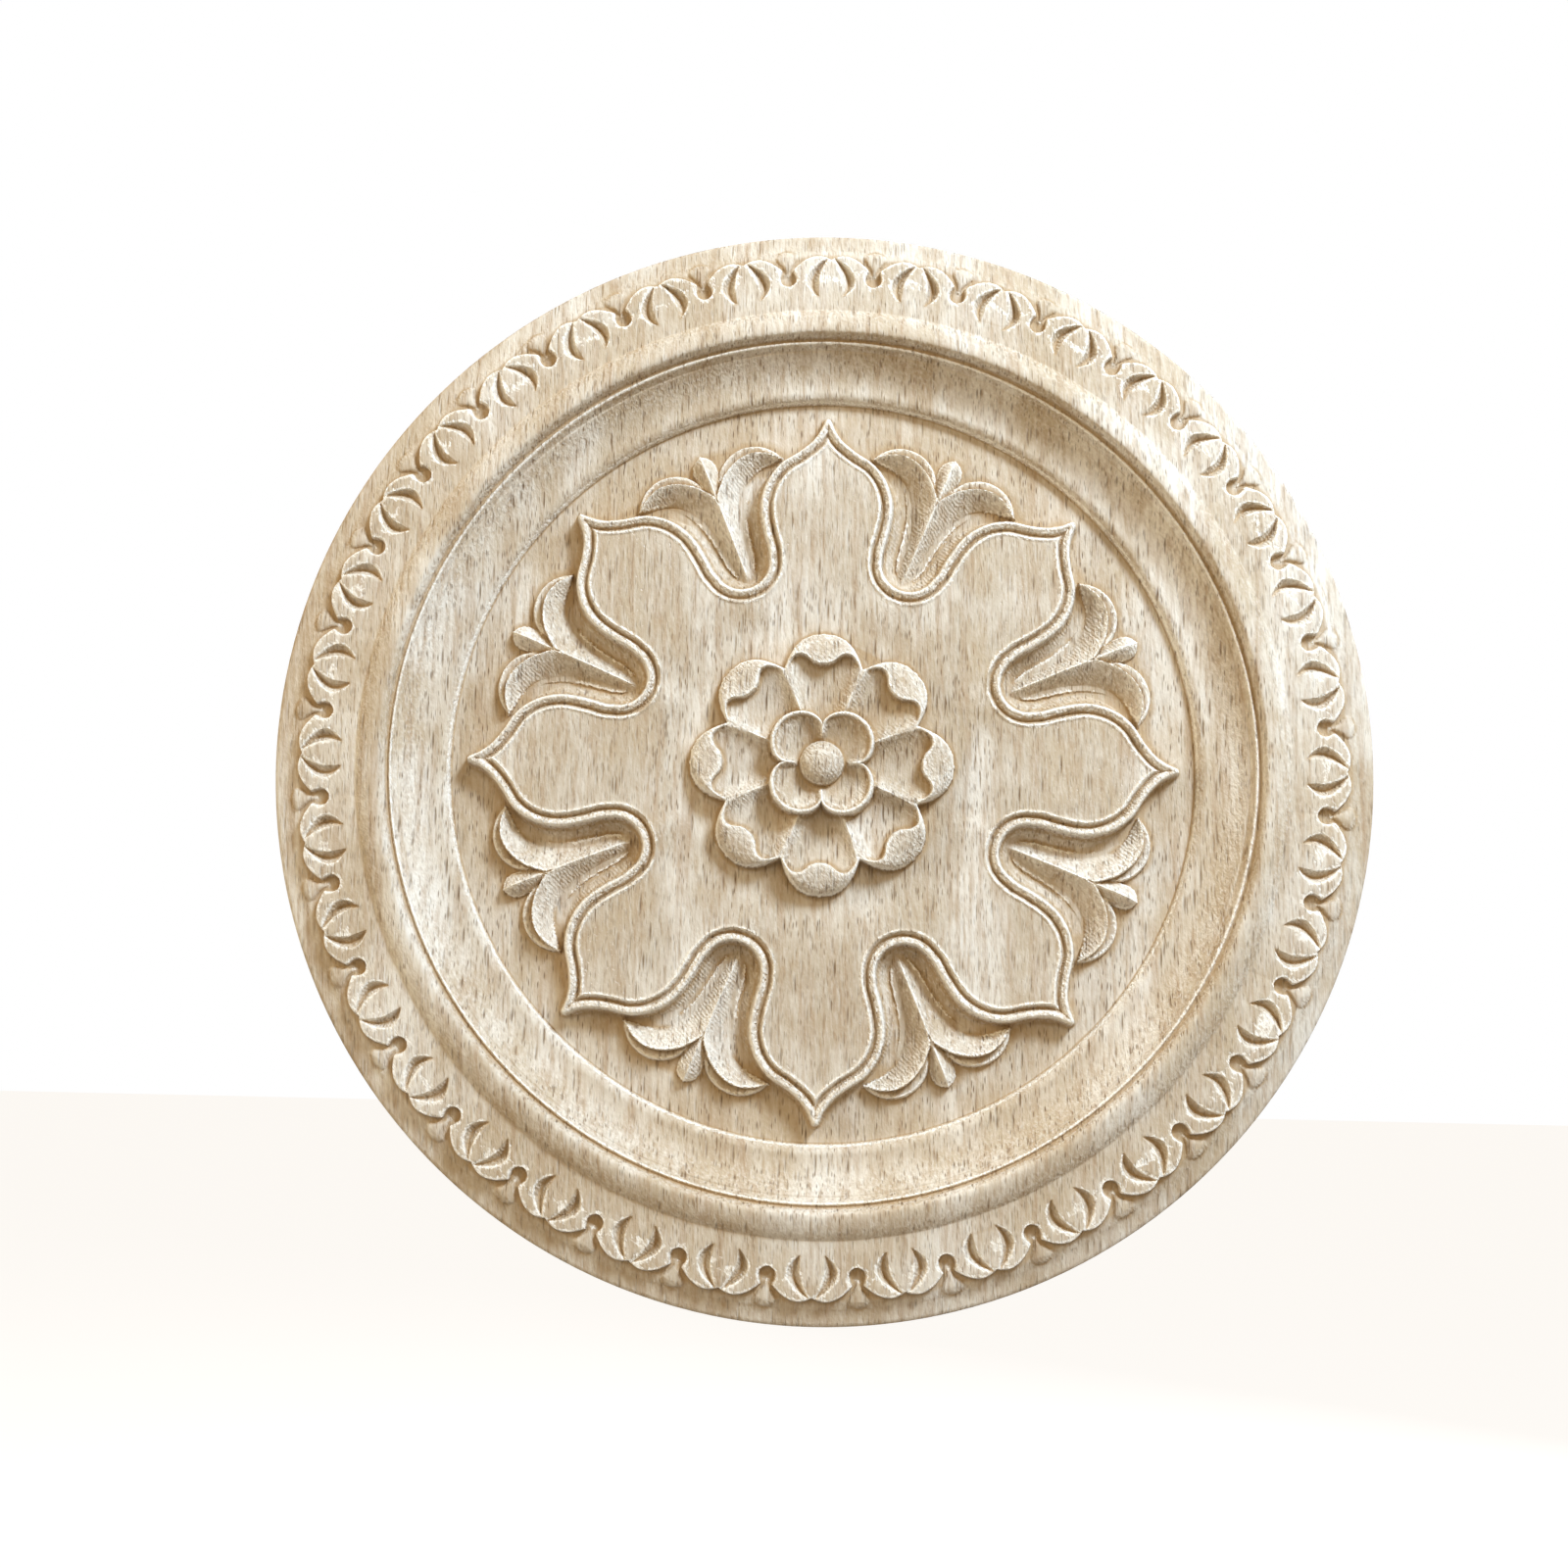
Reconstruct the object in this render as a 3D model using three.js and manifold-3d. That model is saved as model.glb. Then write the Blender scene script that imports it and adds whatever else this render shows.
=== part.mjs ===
// A round carved wood applique: a turned moulding around an eight-lobed plate, with a
// rosette at its centre, a lily in every gap of the plate and a border of leaves at the rim.
// It is cut from one board, so it is one solid. Millimetres, +Z up. It is made to be fixed
// upright: the back lies in the plane Y = 0, the carved face looks to -Y, and the origin is
// the centre of the back.

import * as THREE from "three";
import { mergeVertices } from "three/addons/utils/BufferGeometryUtils.js";
import Module from "manifold-3d";

// Turned body: radii from the centre and heights above the back
const BODY_RADIUS = 100;
const BODY_SIDES = 64;
const RIM_HEIGHT = 10.3;
const OUTER_BAND_INNER_RADIUS = 93;
const LEAF_FLOOR_HEIGHT = 11.6;
const LEAF_TOP_HEIGHT = 13;
const ROLL_OUTER_RADIUS = 84.9;
const ROLL_INNER_RADIUS = 79.5;
const ROLL_RISE = 1.8;
const ROLL_STEPS = 4;
const QUIRK_DEPTH = 1.2;
const FILLET_OUTER_RADIUS = 78.6;
const FILLET_INNER_RADIUS = 77.7;
const FILLET_DROP = 0.6;
const COVE_OUTER_RADIUS = 77.1;
const COVE_INNER_RADIUS = 71.2;
const COVE_TOP_HEIGHT = 11.6;
const COVE_DROP = 2.8;
const COVE_STEPS = 3;
const OVOLO_OUTER_RADIUS = 70.8;
const OVOLO_INNER_RADIUS = 68.2;
const OVOLO_STEPS = 2;
const GROUND_HEIGHT = 6.4;

// Border of leaves: radii, and half-widths across each leaf or each gap
const LEAF_COUNT = 36;
const LEAF_TIP_RADIUS = 95.4;
const LEAF_SPLIT_RADIUS = 94.75;
const LEAF_LOBE_OFFSET = 2.4;
const LEAF_RING_INNER_RADIUS = 84.1;
const GAP_MOUTH_RADIUS = 95.1;
const GAP_MOUTH_HALF = 2.6;
const GAP_NECK_RADIUS = 93.2;
const GAP_NECK_HALF = 0.8;
const GAP_PIT_RADIUS = 91.2;
const GAP_PIT_HALF = 1.38;
const GAP_END_RADIUS = 89.6;
const CUT_OUTER_RADIUS = 94.8;
const CUT_INNER_RADIUS = 87.2;
const CUT_OUTER_OFFSET = 0.5;
const CUT_INNER_OFFSET = 2.1;
const CUT_BULGE = 2.7;
const CUT_WIDTH = 1.9;
const CUT_DEPTH = 1;
const CUT_CLEARANCE = 0.5;
const CUT_STEPS = 3;
const DART_TIP_RADIUS = 96.9;
const DART_END_RADIUS = 91.7;
const DART_HALF_WIDTH = 2.6;
const DART_RISE = 1.1;

// Lobed plate: half the crest line of one lobe, from its tip to the bottom of the gap
// beside it, as distances across and along the lobe
const LOBE_COUNT = 8;
const PLATE_HEIGHT = 9.8;
const LOBE_TIP_RADIUS = 64.5;
const LOBE_SHOULDER = [
  [2.4, 60.4],
  [4.9, 58.3],
  [8.3, 56],
  [10.5, 53],
  [11.6, 48.5],
  [10.8, 43],
];
const GAP_CENTRE_RADIUS = 40.7;
const GAP_ARC_RADIUS = 5.7;
const HALF_LOBE_STEPS = 8;
const TIP_REACH = 1.8;
const BEAD_HALF = 0.6;
const BEAD_SIDE_DROP = 0.5;
const WALL_SPREAD = 1.3;
const GROOVE_OFFSET = 1.3;
const GROOVE_DEPTH = 0.7;
const PANEL_OFFSET = 2.1;
const DISH_RADIUS = 36;
const DISH_DEPTH = 0.8;
const DISH_FLOOR_RADIUS = 24;

// Lily in each gap of the plate: sizes across and along the gap's own line
const STEM_START = 35.6;
const STEM_HALF = 2;
const STEM_START_RISE = 0.5;
const STEM_FOOT_RISE = 0.2;
const SPLIT_RADIUS = 53.8;
const CREST_ARC = { across: 8.3, along: 51.6, radius: 7.7, from: 168, to: 43 };
const FOOT_ARC = { across: 11.4, along: 49.2, radius: 7.4, from: 176, to: 66 };
const UNDER_ARC = { across: 7.9, along: 54.5, radius: 6.8, from: 136, to: 26 };
const UNDER_WIDTH = 2.4;
const UNDER_RISE = 1.1;
const LEAF_CREST_RISE = 3;
const LEAF_FOOT_RISE = 0.7;
const LEAF_TIP_RISE = 1.5;
const STEM_STEPS = 2;
const CURL_STEPS = 4;
const BUD_CENTRE_RADIUS = 58.3;
const BUD_HALF_LENGTH = 4;
const BUD_HALF_WIDTH = 2.2;
const BUD_RISE = 2.6;

// Rosette: petal outlines run between a radius in the notches and one on the petals
const PETAL_COUNT = 8;
const PETAL_POINTS = 6;
const PETAL_NOTCH_RADIUS = 19;
const PETAL_TIP_RADIUS = 24.2;
const LIP_NOTCH_RADIUS = 18.6;
const LIP_SCALLOP = 2;
const LIP_CUSP = 1.4;
const LIP_WALL = 0.7;
const LIP_RISE = 2.9;
const LIP_FOOT_RISE = 0.6;
const LIP_NOTCH_DROP = 0.9;
const BOWL_RIM_RISE = 1.9;
const BOWL_RADIUS = 13.5;
const BOWL_RISE = 0.9;
const RIDGE_RISE = 0.9;
const INNER_COUNT = 4;
const INNER_POINTS = 8;
const INNER_NOTCH_RADIUS = 7.1;
const INNER_TIP_RADIUS = 10.9;
const INNER_RISE = 4.2;
const INNER_NOTCH_DROP = 0.8;
const INNER_RIM = 0.9;
const CUP_RADIUS = 4.9;
const CUP_RISE = 2.4;
const BUTTON_RADIUS = 4;
const BUTTON_RISE = 5;
const BUTTON_SIDES = 16;

// Wood, taken from the light and the shaded carving
const WOOD_COLOUR = 0xcdb796;
const WOOD_ROUGHNESS = 0.72;

// How far a raised form reaches down into the wood that carries it
const ROOT_DEPTH = 0.6;

const wasm = await Module();
wasm.setup();

// A closed geometry as a solid that can be joined and cut
function toSolid(geometry) {
  const bare = geometry.clone();
  bare.deleteAttribute("normal");
  bare.deleteAttribute("uv");
  const merged = mergeVertices(bare, 1e-5);
  return new wasm.Manifold(
    new wasm.Mesh({
      numProp: 3,
      vertProperties: Float32Array.from(merged.attributes.position.array),
      triVerts: Uint32Array.from(merged.index.array),
    }),
  );
}

function toGeometry(solid) {
  const mesh = solid.getMesh();
  const geometry = new THREE.BufferGeometry();
  geometry.setAttribute("position", new THREE.BufferAttribute(mesh.vertProperties, 3));
  geometry.setIndex(new THREE.BufferAttribute(mesh.triVerts, 1));
  geometry.computeVertexNormals();
  return geometry;
}

// A body through rings of equal point count, lowest first, each ring anticlockwise
function loft(rings) {
  const count = rings[0].length;
  const corners = rings.flat().flatMap((point) => [point.x, point.y, point.z]);
  const faces = [];
  const capFaces = (ring) =>
    THREE.ShapeUtils.triangulateShape(
      ring.map((point) => new THREE.Vector2(point.x, point.y)),
      [],
    );
  for (const [a, b, c] of capFaces(rings[0])) faces.push(a, c, b);
  for (let level = 0; level < rings.length - 1; level++) {
    for (let i = 0; i < count; i++) {
      const a = level * count + i;
      const b = level * count + ((i + 1) % count);
      faces.push(a, b, b + count, a, b + count, a + count);
    }
  }
  const top = (rings.length - 1) * count;
  for (const [a, b, c] of capFaces(rings.at(-1))) faces.push(top + a, top + b, top + c);
  const geometry = new THREE.BufferGeometry();
  geometry.setAttribute("position", new THREE.Float32BufferAttribute(corners, 3));
  geometry.setIndex(faces);
  return geometry;
}

// A body along sections of equal point count, closed by a flat face at both ends
function sweep(sections) {
  const count = sections[0].length;
  const corners = sections.flat().flatMap((point) => [point.x, point.y, point.z]);
  const faces = [];
  for (let i = 1; i < count - 1; i++) faces.push(0, i + 1, i);
  for (let step = 0; step < sections.length - 1; step++) {
    for (let i = 0; i < count; i++) {
      const a = step * count + i;
      const b = step * count + ((i + 1) % count);
      faces.push(a, b, b + count, a, b + count, a + count);
    }
  }
  const last = (sections.length - 1) * count;
  for (let i = 1; i < count - 1; i++) faces.push(last, last + i, last + i + 1);
  const geometry = new THREE.BufferGeometry();
  geometry.setAttribute("position", new THREE.Float32BufferAttribute(corners, 3));
  geometry.setIndex(faces);
  return geometry;
}

// A point beside a line from the centre; turns are counted clockwise from straight up
function beside(turn, across, along, height) {
  const x = along * Math.sin(turn) + across * Math.cos(turn);
  const y = along * Math.cos(turn) - across * Math.sin(turn);
  return new THREE.Vector3(x, y, height);
}

function onArc(arc, degrees, extra = 0) {
  const angle = THREE.MathUtils.degToRad(degrees);
  return {
    across: arc.across + (arc.radius + extra) * Math.cos(angle),
    along: arc.along + (arc.radius + extra) * Math.sin(angle),
  };
}

// The turned body's half section; its flats stand at the full radius
function bodyProfile() {
  const rim = BODY_RADIUS / Math.cos(Math.PI / BODY_SIDES);
  const points = [
    [0, 0],
    [rim, 0],
    [rim, RIM_HEIGHT],
    [OUTER_BAND_INNER_RADIUS, LEAF_FLOOR_HEIGHT],
    [ROLL_OUTER_RADIUS, LEAF_FLOOR_HEIGHT],
  ];
  const rollMiddle = (ROLL_OUTER_RADIUS + ROLL_INNER_RADIUS) / 2;
  const rollHalf = (ROLL_OUTER_RADIUS - ROLL_INNER_RADIUS) / 2;
  for (let i = 0; i <= ROLL_STEPS; i++) {
    const angle = (Math.PI * i) / ROLL_STEPS;
    points.push([
      rollMiddle + rollHalf * Math.cos(angle),
      LEAF_TOP_HEIGHT - 0.1 + ROLL_RISE * Math.sin(angle),
    ]);
  }
  points.push([ROLL_INNER_RADIUS - 0.1, LEAF_TOP_HEIGHT - QUIRK_DEPTH]);
  points.push([FILLET_OUTER_RADIUS, LEAF_TOP_HEIGHT - FILLET_DROP]);
  points.push([FILLET_INNER_RADIUS, LEAF_TOP_HEIGHT - FILLET_DROP]);
  const coveWidth = COVE_OUTER_RADIUS - COVE_INNER_RADIUS;
  const coveTurn = 2 * Math.atan(COVE_DROP / coveWidth);
  const coveRadius = coveWidth / Math.sin(coveTurn);
  const coveBottom = COVE_TOP_HEIGHT - COVE_DROP;
  for (let i = 0; i <= COVE_STEPS; i++) {
    const angle = coveTurn * (1 - i / COVE_STEPS);
    points.push([
      COVE_INNER_RADIUS + coveRadius * Math.sin(angle),
      coveBottom + coveRadius * (1 - Math.cos(angle)),
    ]);
  }
  for (let i = 0; i <= OVOLO_STEPS; i++) {
    const angle = (Math.PI / 2) * (i / OVOLO_STEPS);
    points.push([
      OVOLO_OUTER_RADIUS - (OVOLO_OUTER_RADIUS - OVOLO_INNER_RADIUS) * Math.sin(angle),
      GROUND_HEIGHT + (coveBottom - GROUND_HEIGHT) * Math.cos(angle),
    ]);
  }
  points.push([0, GROUND_HEIGHT]);
  return points.map(([radius, height]) => new THREE.Vector2(radius, height));
}

// A body of revolution, turned half a side so that no corner lies on a carved middle line
function turned(profile, sides) {
  const geometry = new THREE.LatheGeometry(profile, sides);
  return toSolid(geometry.rotateX(Math.PI / 2).rotateZ(Math.PI / sides));
}

// The ring of leaf tips: its outline runs around every leaf and into the gap beside it
function leafRing() {
  const outline = [];
  const halfTurn = Math.PI / LEAF_COUNT;
  const gapSide = [
    [GAP_MOUTH_RADIUS, GAP_MOUTH_HALF],
    [GAP_NECK_RADIUS, GAP_NECK_HALF],
    [GAP_PIT_RADIUS, GAP_PIT_HALF],
  ];
  for (let leaf = 0; leaf < LEAF_COUNT; leaf++) {
    const turn = 2 * halfTurn * leaf;
    const gapTurn = turn + halfTurn;
    outline.push(beside(turn, 0, LEAF_SPLIT_RADIUS, 0));
    outline.push(beside(turn, LEAF_LOBE_OFFSET, LEAF_TIP_RADIUS, 0));
    for (const [along, half] of gapSide) outline.push(beside(gapTurn, -half, along, 0));
    outline.push(beside(gapTurn, 0, GAP_END_RADIUS, 0));
    for (const [along, half] of gapSide.toReversed()) {
      outline.push(beside(gapTurn, half, along, 0));
    }
    outline.push(beside(turn + 2 * halfTurn, -LEAF_LOBE_OFFSET, LEAF_TIP_RADIUS, 0));
  }
  const shape = new THREE.Shape(outline.map((point) => new THREE.Vector2(point.x, point.y)));
  const hole = new THREE.Path();
  hole.absarc(0, 0, LEAF_RING_INNER_RADIUS, 0, 2 * Math.PI);
  shape.holes.push(hole);
  const bottom = LEAF_FLOOR_HEIGHT - ROOT_DEPTH;
  const geometry = new THREE.ExtrudeGeometry(shape, {
    depth: LEAF_TOP_HEIGHT - bottom,
    bevelEnabled: false,
    curveSegments: BODY_SIDES / 2,
  });
  return toSolid(geometry.translate(0, 0, bottom));
}

// One of the two curved cuts that part a leaf's veins; side is 1 or -1
function veinCut(turn, side) {
  const sections = [];
  for (let i = 0; i <= CUT_STEPS; i++) {
    const t = i / CUT_STEPS;
    const swell = Math.sin(Math.PI * t);
    const along = CUT_OUTER_RADIUS + (CUT_INNER_RADIUS - CUT_OUTER_RADIUS) * t;
    const middle =
      CUT_OUTER_OFFSET + (CUT_INNER_OFFSET - CUT_OUTER_OFFSET) * t + CUT_BULGE * swell * 0.7;
    const depth = CUT_DEPTH * (1.3 * swell - 0.2);
    const spread = ((CUT_WIDTH / 2) * (depth + CUT_CLEARANCE)) / CUT_DEPTH;
    const edges = [
      [middle - spread, LEAF_TOP_HEIGHT + CUT_CLEARANCE],
      [middle, LEAF_TOP_HEIGHT - depth],
      [middle + spread, LEAF_TOP_HEIGHT + CUT_CLEARANCE],
    ];
    const section = edges.map(([across, height]) => beside(turn, side * across, along, height));
    sections.push(side > 0 ? section : section.reverse());
  }
  return toSolid(sweep(sections));
}

// The dart that shows between two leaves, below their level: a low pyramid that points inward
function dart(turn) {
  const rise = DART_RISE + ROOT_DEPTH;
  const pyramid = new THREE.ConeGeometry(1, rise, 5).rotateX(Math.PI / 2).rotateZ(Math.PI);
  pyramid.scale(DART_HALF_WIDTH, (DART_TIP_RADIUS - DART_END_RADIUS) / 1.81, 1);
  pyramid.rotateZ(-turn);
  const along = DART_END_RADIUS + (DART_TIP_RADIUS - DART_END_RADIUS) / 1.81;
  const place = beside(turn, 0, along, LEAF_FLOOR_HEIGHT - ROOT_DEPTH + rise / 2);
  return toSolid(pyramid.translate(place.x, place.y, place.z));
}

// Points of the plate's crest line for all lobes, moved inward by an offset
function plateLine(offset, height) {
  const halfTurn = Math.PI / LOBE_COUNT;
  const gapAcross = GAP_CENTRE_RADIUS * Math.sin(halfTurn);
  const gapAlong = GAP_CENTRE_RADIUS * Math.cos(halfTurn);
  const arc = (turn) =>
    new THREE.Vector2(
      gapAcross + GAP_ARC_RADIUS * Math.cos(turn),
      gapAlong + GAP_ARC_RADIUS * Math.sin(turn),
    );
  const bottomTurn = 1.5 * Math.PI - halfTurn;
  const curve = new THREE.SplineCurve([
    new THREE.Vector2(0, LOBE_TIP_RADIUS),
    ...LOBE_SHOULDER.map(([across, along]) => new THREE.Vector2(across, along)),
    arc(bottomTurn - 1.45),
    arc(bottomTurn - 0.95),
    arc(bottomTurn - 0.45),
    arc(bottomTurn),
  ]);
  const half = [];
  for (let i = 1; i <= HALF_LOBE_STEPS; i++) {
    const t = 1 - (1 - i / (HALF_LOBE_STEPS + 0.6)) ** 1.25;
    const point = curve.getPointAt(t);
    const tangent = curve.getTangentAt(t);
    half.push([point.x + tangent.y * offset, point.y - tangent.x * offset]);
  }
  const line = [];
  for (let lobe = 0; lobe < LOBE_COUNT; lobe++) {
    const turn = 2 * halfTurn * lobe;
    line.push(beside(turn, 0, LOBE_TIP_RADIUS - offset * TIP_REACH, height));
    for (const [across, along] of half) line.push(beside(turn, across, along, height));
    for (const [across, along] of half.toReversed()) {
      line.push(beside(turn + 2 * halfTurn, -across, along, height));
    }
  }
  return line.reverse();
}

function plate() {
  const lines = [
    plateLine(-WALL_SPREAD, GROUND_HEIGHT - ROOT_DEPTH),
    plateLine(-BEAD_HALF, PLATE_HEIGHT - BEAD_SIDE_DROP),
    plateLine(0, PLATE_HEIGHT),
    plateLine(GROOVE_OFFSET, PLATE_HEIGHT - GROOVE_DEPTH),
    plateLine(PANEL_OFFSET, PLATE_HEIGHT),
  ];
  const dish = [
    [0, PLATE_HEIGHT - DISH_DEPTH],
    [DISH_FLOOR_RADIUS, PLATE_HEIGHT - DISH_DEPTH],
    [DISH_RADIUS, PLATE_HEIGHT + 0.3],
    [0, PLATE_HEIGHT + 0.3],
  ].map(([radius, height]) => new THREE.Vector2(radius, height));
  return toSolid(loft(lines)).subtract(turned(dish, PETAL_COUNT * 4));
}

// A lily's stem: a roof that climbs from the bottom of the gap to where the leaves part
function stem(turn) {
  const root = GROUND_HEIGHT - ROOT_DEPTH;
  const footEnd = onArc(FOOT_ARC, FOOT_ARC.from).across;
  const sections = [];
  for (let i = 0; i <= STEM_STEPS; i++) {
    const t = i / STEM_STEPS;
    const along = STEM_START + (SPLIT_RADIUS - STEM_START) * t;
    const half = STEM_HALF + (footEnd - STEM_HALF) * t ** 2;
    const foot = GROUND_HEIGHT + STEM_FOOT_RISE + (LEAF_FOOT_RISE - STEM_FOOT_RISE) * t;
    const crest = STEM_START_RISE + (LEAF_CREST_RISE - STEM_START_RISE) * Math.sqrt(t);
    sections.push([
      beside(turn, half, along, root),
      beside(turn, -half, along, root),
      beside(turn, -half, along, foot),
      beside(turn, 0, along, GROUND_HEIGHT + crest),
      beside(turn, half, along, foot),
    ]);
  }
  return toSolid(sweep(sections));
}

// A leaf that curls outward from the stem; side is 1 or -1
function lilyLeaf(turn, side) {
  const root = GROUND_HEIGHT - ROOT_DEPTH;
  const sections = [];
  for (let i = 0; i <= CURL_STEPS; i++) {
    const t = i / CURL_STEPS;
    const taper = t ** 3;
    const crest = onArc(CREST_ARC, CREST_ARC.from + (CREST_ARC.to - CREST_ARC.from) * t);
    const foot = onArc(FOOT_ARC, FOOT_ARC.from + (FOOT_ARC.to - FOOT_ARC.from) * t);
    const crestRise = LEAF_CREST_RISE + (LEAF_TIP_RISE - LEAF_CREST_RISE) * taper;
    const footRise = LEAF_FOOT_RISE + (LEAF_TIP_RISE - LEAF_FOOT_RISE) * taper * 0.8;
    const section = [
      beside(turn, side * foot.across, foot.along, root),
      beside(turn, side * crest.across, crest.along, root),
      beside(turn, side * crest.across, crest.along, GROUND_HEIGHT + crestRise),
      beside(turn, side * foot.across, foot.along, GROUND_HEIGHT + footRise),
    ];
    sections.push(side > 0 ? section : section.reverse());
  }
  return toSolid(sweep(sections));
}

// The two lower leaves that show as a band beyond the curled ones, as one slab
function underLeaves(turn) {
  const half = [];
  for (let i = 0; i <= CURL_STEPS; i++) {
    const t = i / CURL_STEPS;
    half.push(onArc(UNDER_ARC, UNDER_ARC.from + (UNDER_ARC.to - UNDER_ARC.from) * t));
  }
  half.push(onArc(UNDER_ARC, UNDER_ARC.to + 20, -UNDER_WIDTH));
  half.push(onArc(UNDER_ARC, UNDER_ARC.from, -UNDER_WIDTH));
  const outline = [
    ...half.map(({ across, along }) => [across, along]),
    ...half.toReversed().map(({ across, along }) => [-across, along]),
  ].reverse();
  const ring = (height) => outline.map(([across, along]) => beside(turn, across, along, height));
  return toSolid(loft([ring(GROUND_HEIGHT - ROOT_DEPTH), ring(GROUND_HEIGHT + UNDER_RISE)]));
}

function bud(turn) {
  const ball = new THREE.SphereGeometry(1, 6, 4);
  ball.scale(BUD_HALF_WIDTH, BUD_HALF_LENGTH, BUD_RISE);
  ball.rotateZ(-turn);
  const place = beside(turn, 0, BUD_CENTRE_RADIUS, GROUND_HEIGHT);
  return toSolid(ball.translate(place.x, place.y, place.z));
}

// A closed line around the centre whose radius and height follow the turn
function aroundCentre(count, radiusAt, heightAt) {
  const line = [];
  for (let i = 0; i < count; i++) {
    const turn = (-2 * Math.PI * i) / count;
    line.push(beside(turn, 0, radiusAt(turn), heightAt(turn)));
  }
  return line;
}

function petals() {
  // 1 on each petal's middle line and 0 in each notch
  const petal = (turn) => Math.abs(Math.cos((turn * PETAL_COUNT) / 2));
  const outline = (turn) =>
    PETAL_NOTCH_RADIUS + (PETAL_TIP_RADIUS - PETAL_NOTCH_RADIUS) * petal(turn) ** 0.9;
  const lip = (turn) =>
    LIP_NOTCH_RADIUS +
    LIP_SCALLOP * Math.sin(Math.PI * petal(turn) ** 1.4) -
    LIP_CUSP * petal(turn) ** 8 * 0.3;
  const count = PETAL_COUNT * PETAL_POINTS;
  const lipHeight = (turn) => LIP_RISE - LIP_NOTCH_DROP * (1 - petal(turn)) ** 2;
  const level = (rise) => () => PLATE_HEIGHT + rise;
  return toSolid(
    loft([
      aroundCentre(count, outline, level(-DISH_DEPTH - ROOT_DEPTH)),
      aroundCentre(count, outline, level(LIP_FOOT_RISE)),
      aroundCentre(count, lip, (turn) => PLATE_HEIGHT + lipHeight(turn)),
      aroundCentre(
        count,
        (turn) => lip(turn) - LIP_WALL,
        (turn) => PLATE_HEIGHT + BOWL_RIM_RISE + 0.2 * (1 - petal(turn)),
      ),
      aroundCentre(
        count,
        () => BOWL_RADIUS,
        (turn) => PLATE_HEIGHT + BOWL_RISE + RIDGE_RISE * (1 - petal(turn)) ** 1.5,
      ),
    ]),
  );
}

function innerFlower() {
  // 1 on each petal's middle line and 0 in each notch
  const petal = (turn) => Math.abs(Math.sin((turn * INNER_COUNT) / 2)) ** 0.65;
  const outline = (turn) =>
    INNER_NOTCH_RADIUS + (INNER_TIP_RADIUS - INNER_NOTCH_RADIUS) * petal(turn);
  const rimHeight = (turn) =>
    PLATE_HEIGHT + INNER_RISE - INNER_NOTCH_DROP * (1 - petal(turn));
  const count = INNER_COUNT * INNER_POINTS;
  return toSolid(
    loft([
      aroundCentre(count, outline, () => PLATE_HEIGHT),
      aroundCentre(count, (turn) => outline(turn) - 0.3, rimHeight),
      aroundCentre(
        count,
        (turn) => outline(turn) - INNER_RIM,
        (turn) => rimHeight(turn) - 0.4,
      ),
      aroundCentre(
        count,
        () => CUP_RADIUS,
        () => PLATE_HEIGHT + CUP_RISE,
      ),
    ]),
  );
}

function button() {
  const steps = 3;
  const profile = [[0, PLATE_HEIGHT + BOWL_RISE]];
  for (let i = 0; i < steps; i++) {
    const angle = (Math.PI / 2) * (i / steps);
    profile.push([
      BUTTON_RADIUS * Math.cos(angle),
      PLATE_HEIGHT + CUP_RISE + (BUTTON_RISE - CUP_RISE) * Math.sin(angle),
    ]);
  }
  profile.splice(1, 0, [BUTTON_RADIUS, PLATE_HEIGHT + BOWL_RISE]);
  profile.push([0, PLATE_HEIGHT + BUTTON_RISE]);
  return turned(
    profile.map(([radius, height]) => new THREE.Vector2(radius, height)),
    BUTTON_SIDES,
  );
}

function carving() {
  let solid = turned(bodyProfile(), BODY_SIDES).add(leafRing());
  for (let leaf = 0; leaf < LEAF_COUNT; leaf++) {
    const turn = (2 * Math.PI * leaf) / LEAF_COUNT;
    solid = solid.subtract(veinCut(turn, 1));
    solid = solid.subtract(veinCut(turn, -1));
    solid = solid.add(dart(turn + Math.PI / LEAF_COUNT));
  }
  solid = solid.add(plate());
  for (let lobe = 0; lobe < LOBE_COUNT; lobe++) {
    const turn = (2 * Math.PI * (lobe + 0.5)) / LOBE_COUNT;
    solid = solid.add(underLeaves(turn)).add(stem(turn));
    solid = solid.add(lilyLeaf(turn, 1)).add(lilyLeaf(turn, -1));
    solid = solid.add(bud(turn));
  }
  return solid.add(petals()).add(innerFlower()).add(button());
}

const wood = new THREE.MeshStandardMaterial({
  color: WOOD_COLOUR,
  roughness: WOOD_ROUGHNESS,
  metalness: 0,
});
const carvedRosette = new THREE.Mesh(toGeometry(carving()), wood);
carvedRosette.name = "carved_rosette";
carvedRosette.rotation.x = Math.PI / 2;

const applique = new THREE.Group();
applique.add(carvedRosette);

export default applique;
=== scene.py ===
# %% [markdown]
# A round applique carved from one pale board. The solid model already has its true sizes and
# its main forms in flat facets. Here the same forms are made again as one finely cut surface,
# with soft beads, hollow petals, grain, pores and the marks of the cutter. Everything is in
# metres. The back lies on the plane y = 0, the carved face looks to -Y, and Z is up.

import math

import bpy
import numpy as np
from mathutils import Matrix, Vector
from mathutils.kdtree import KDTree


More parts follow.
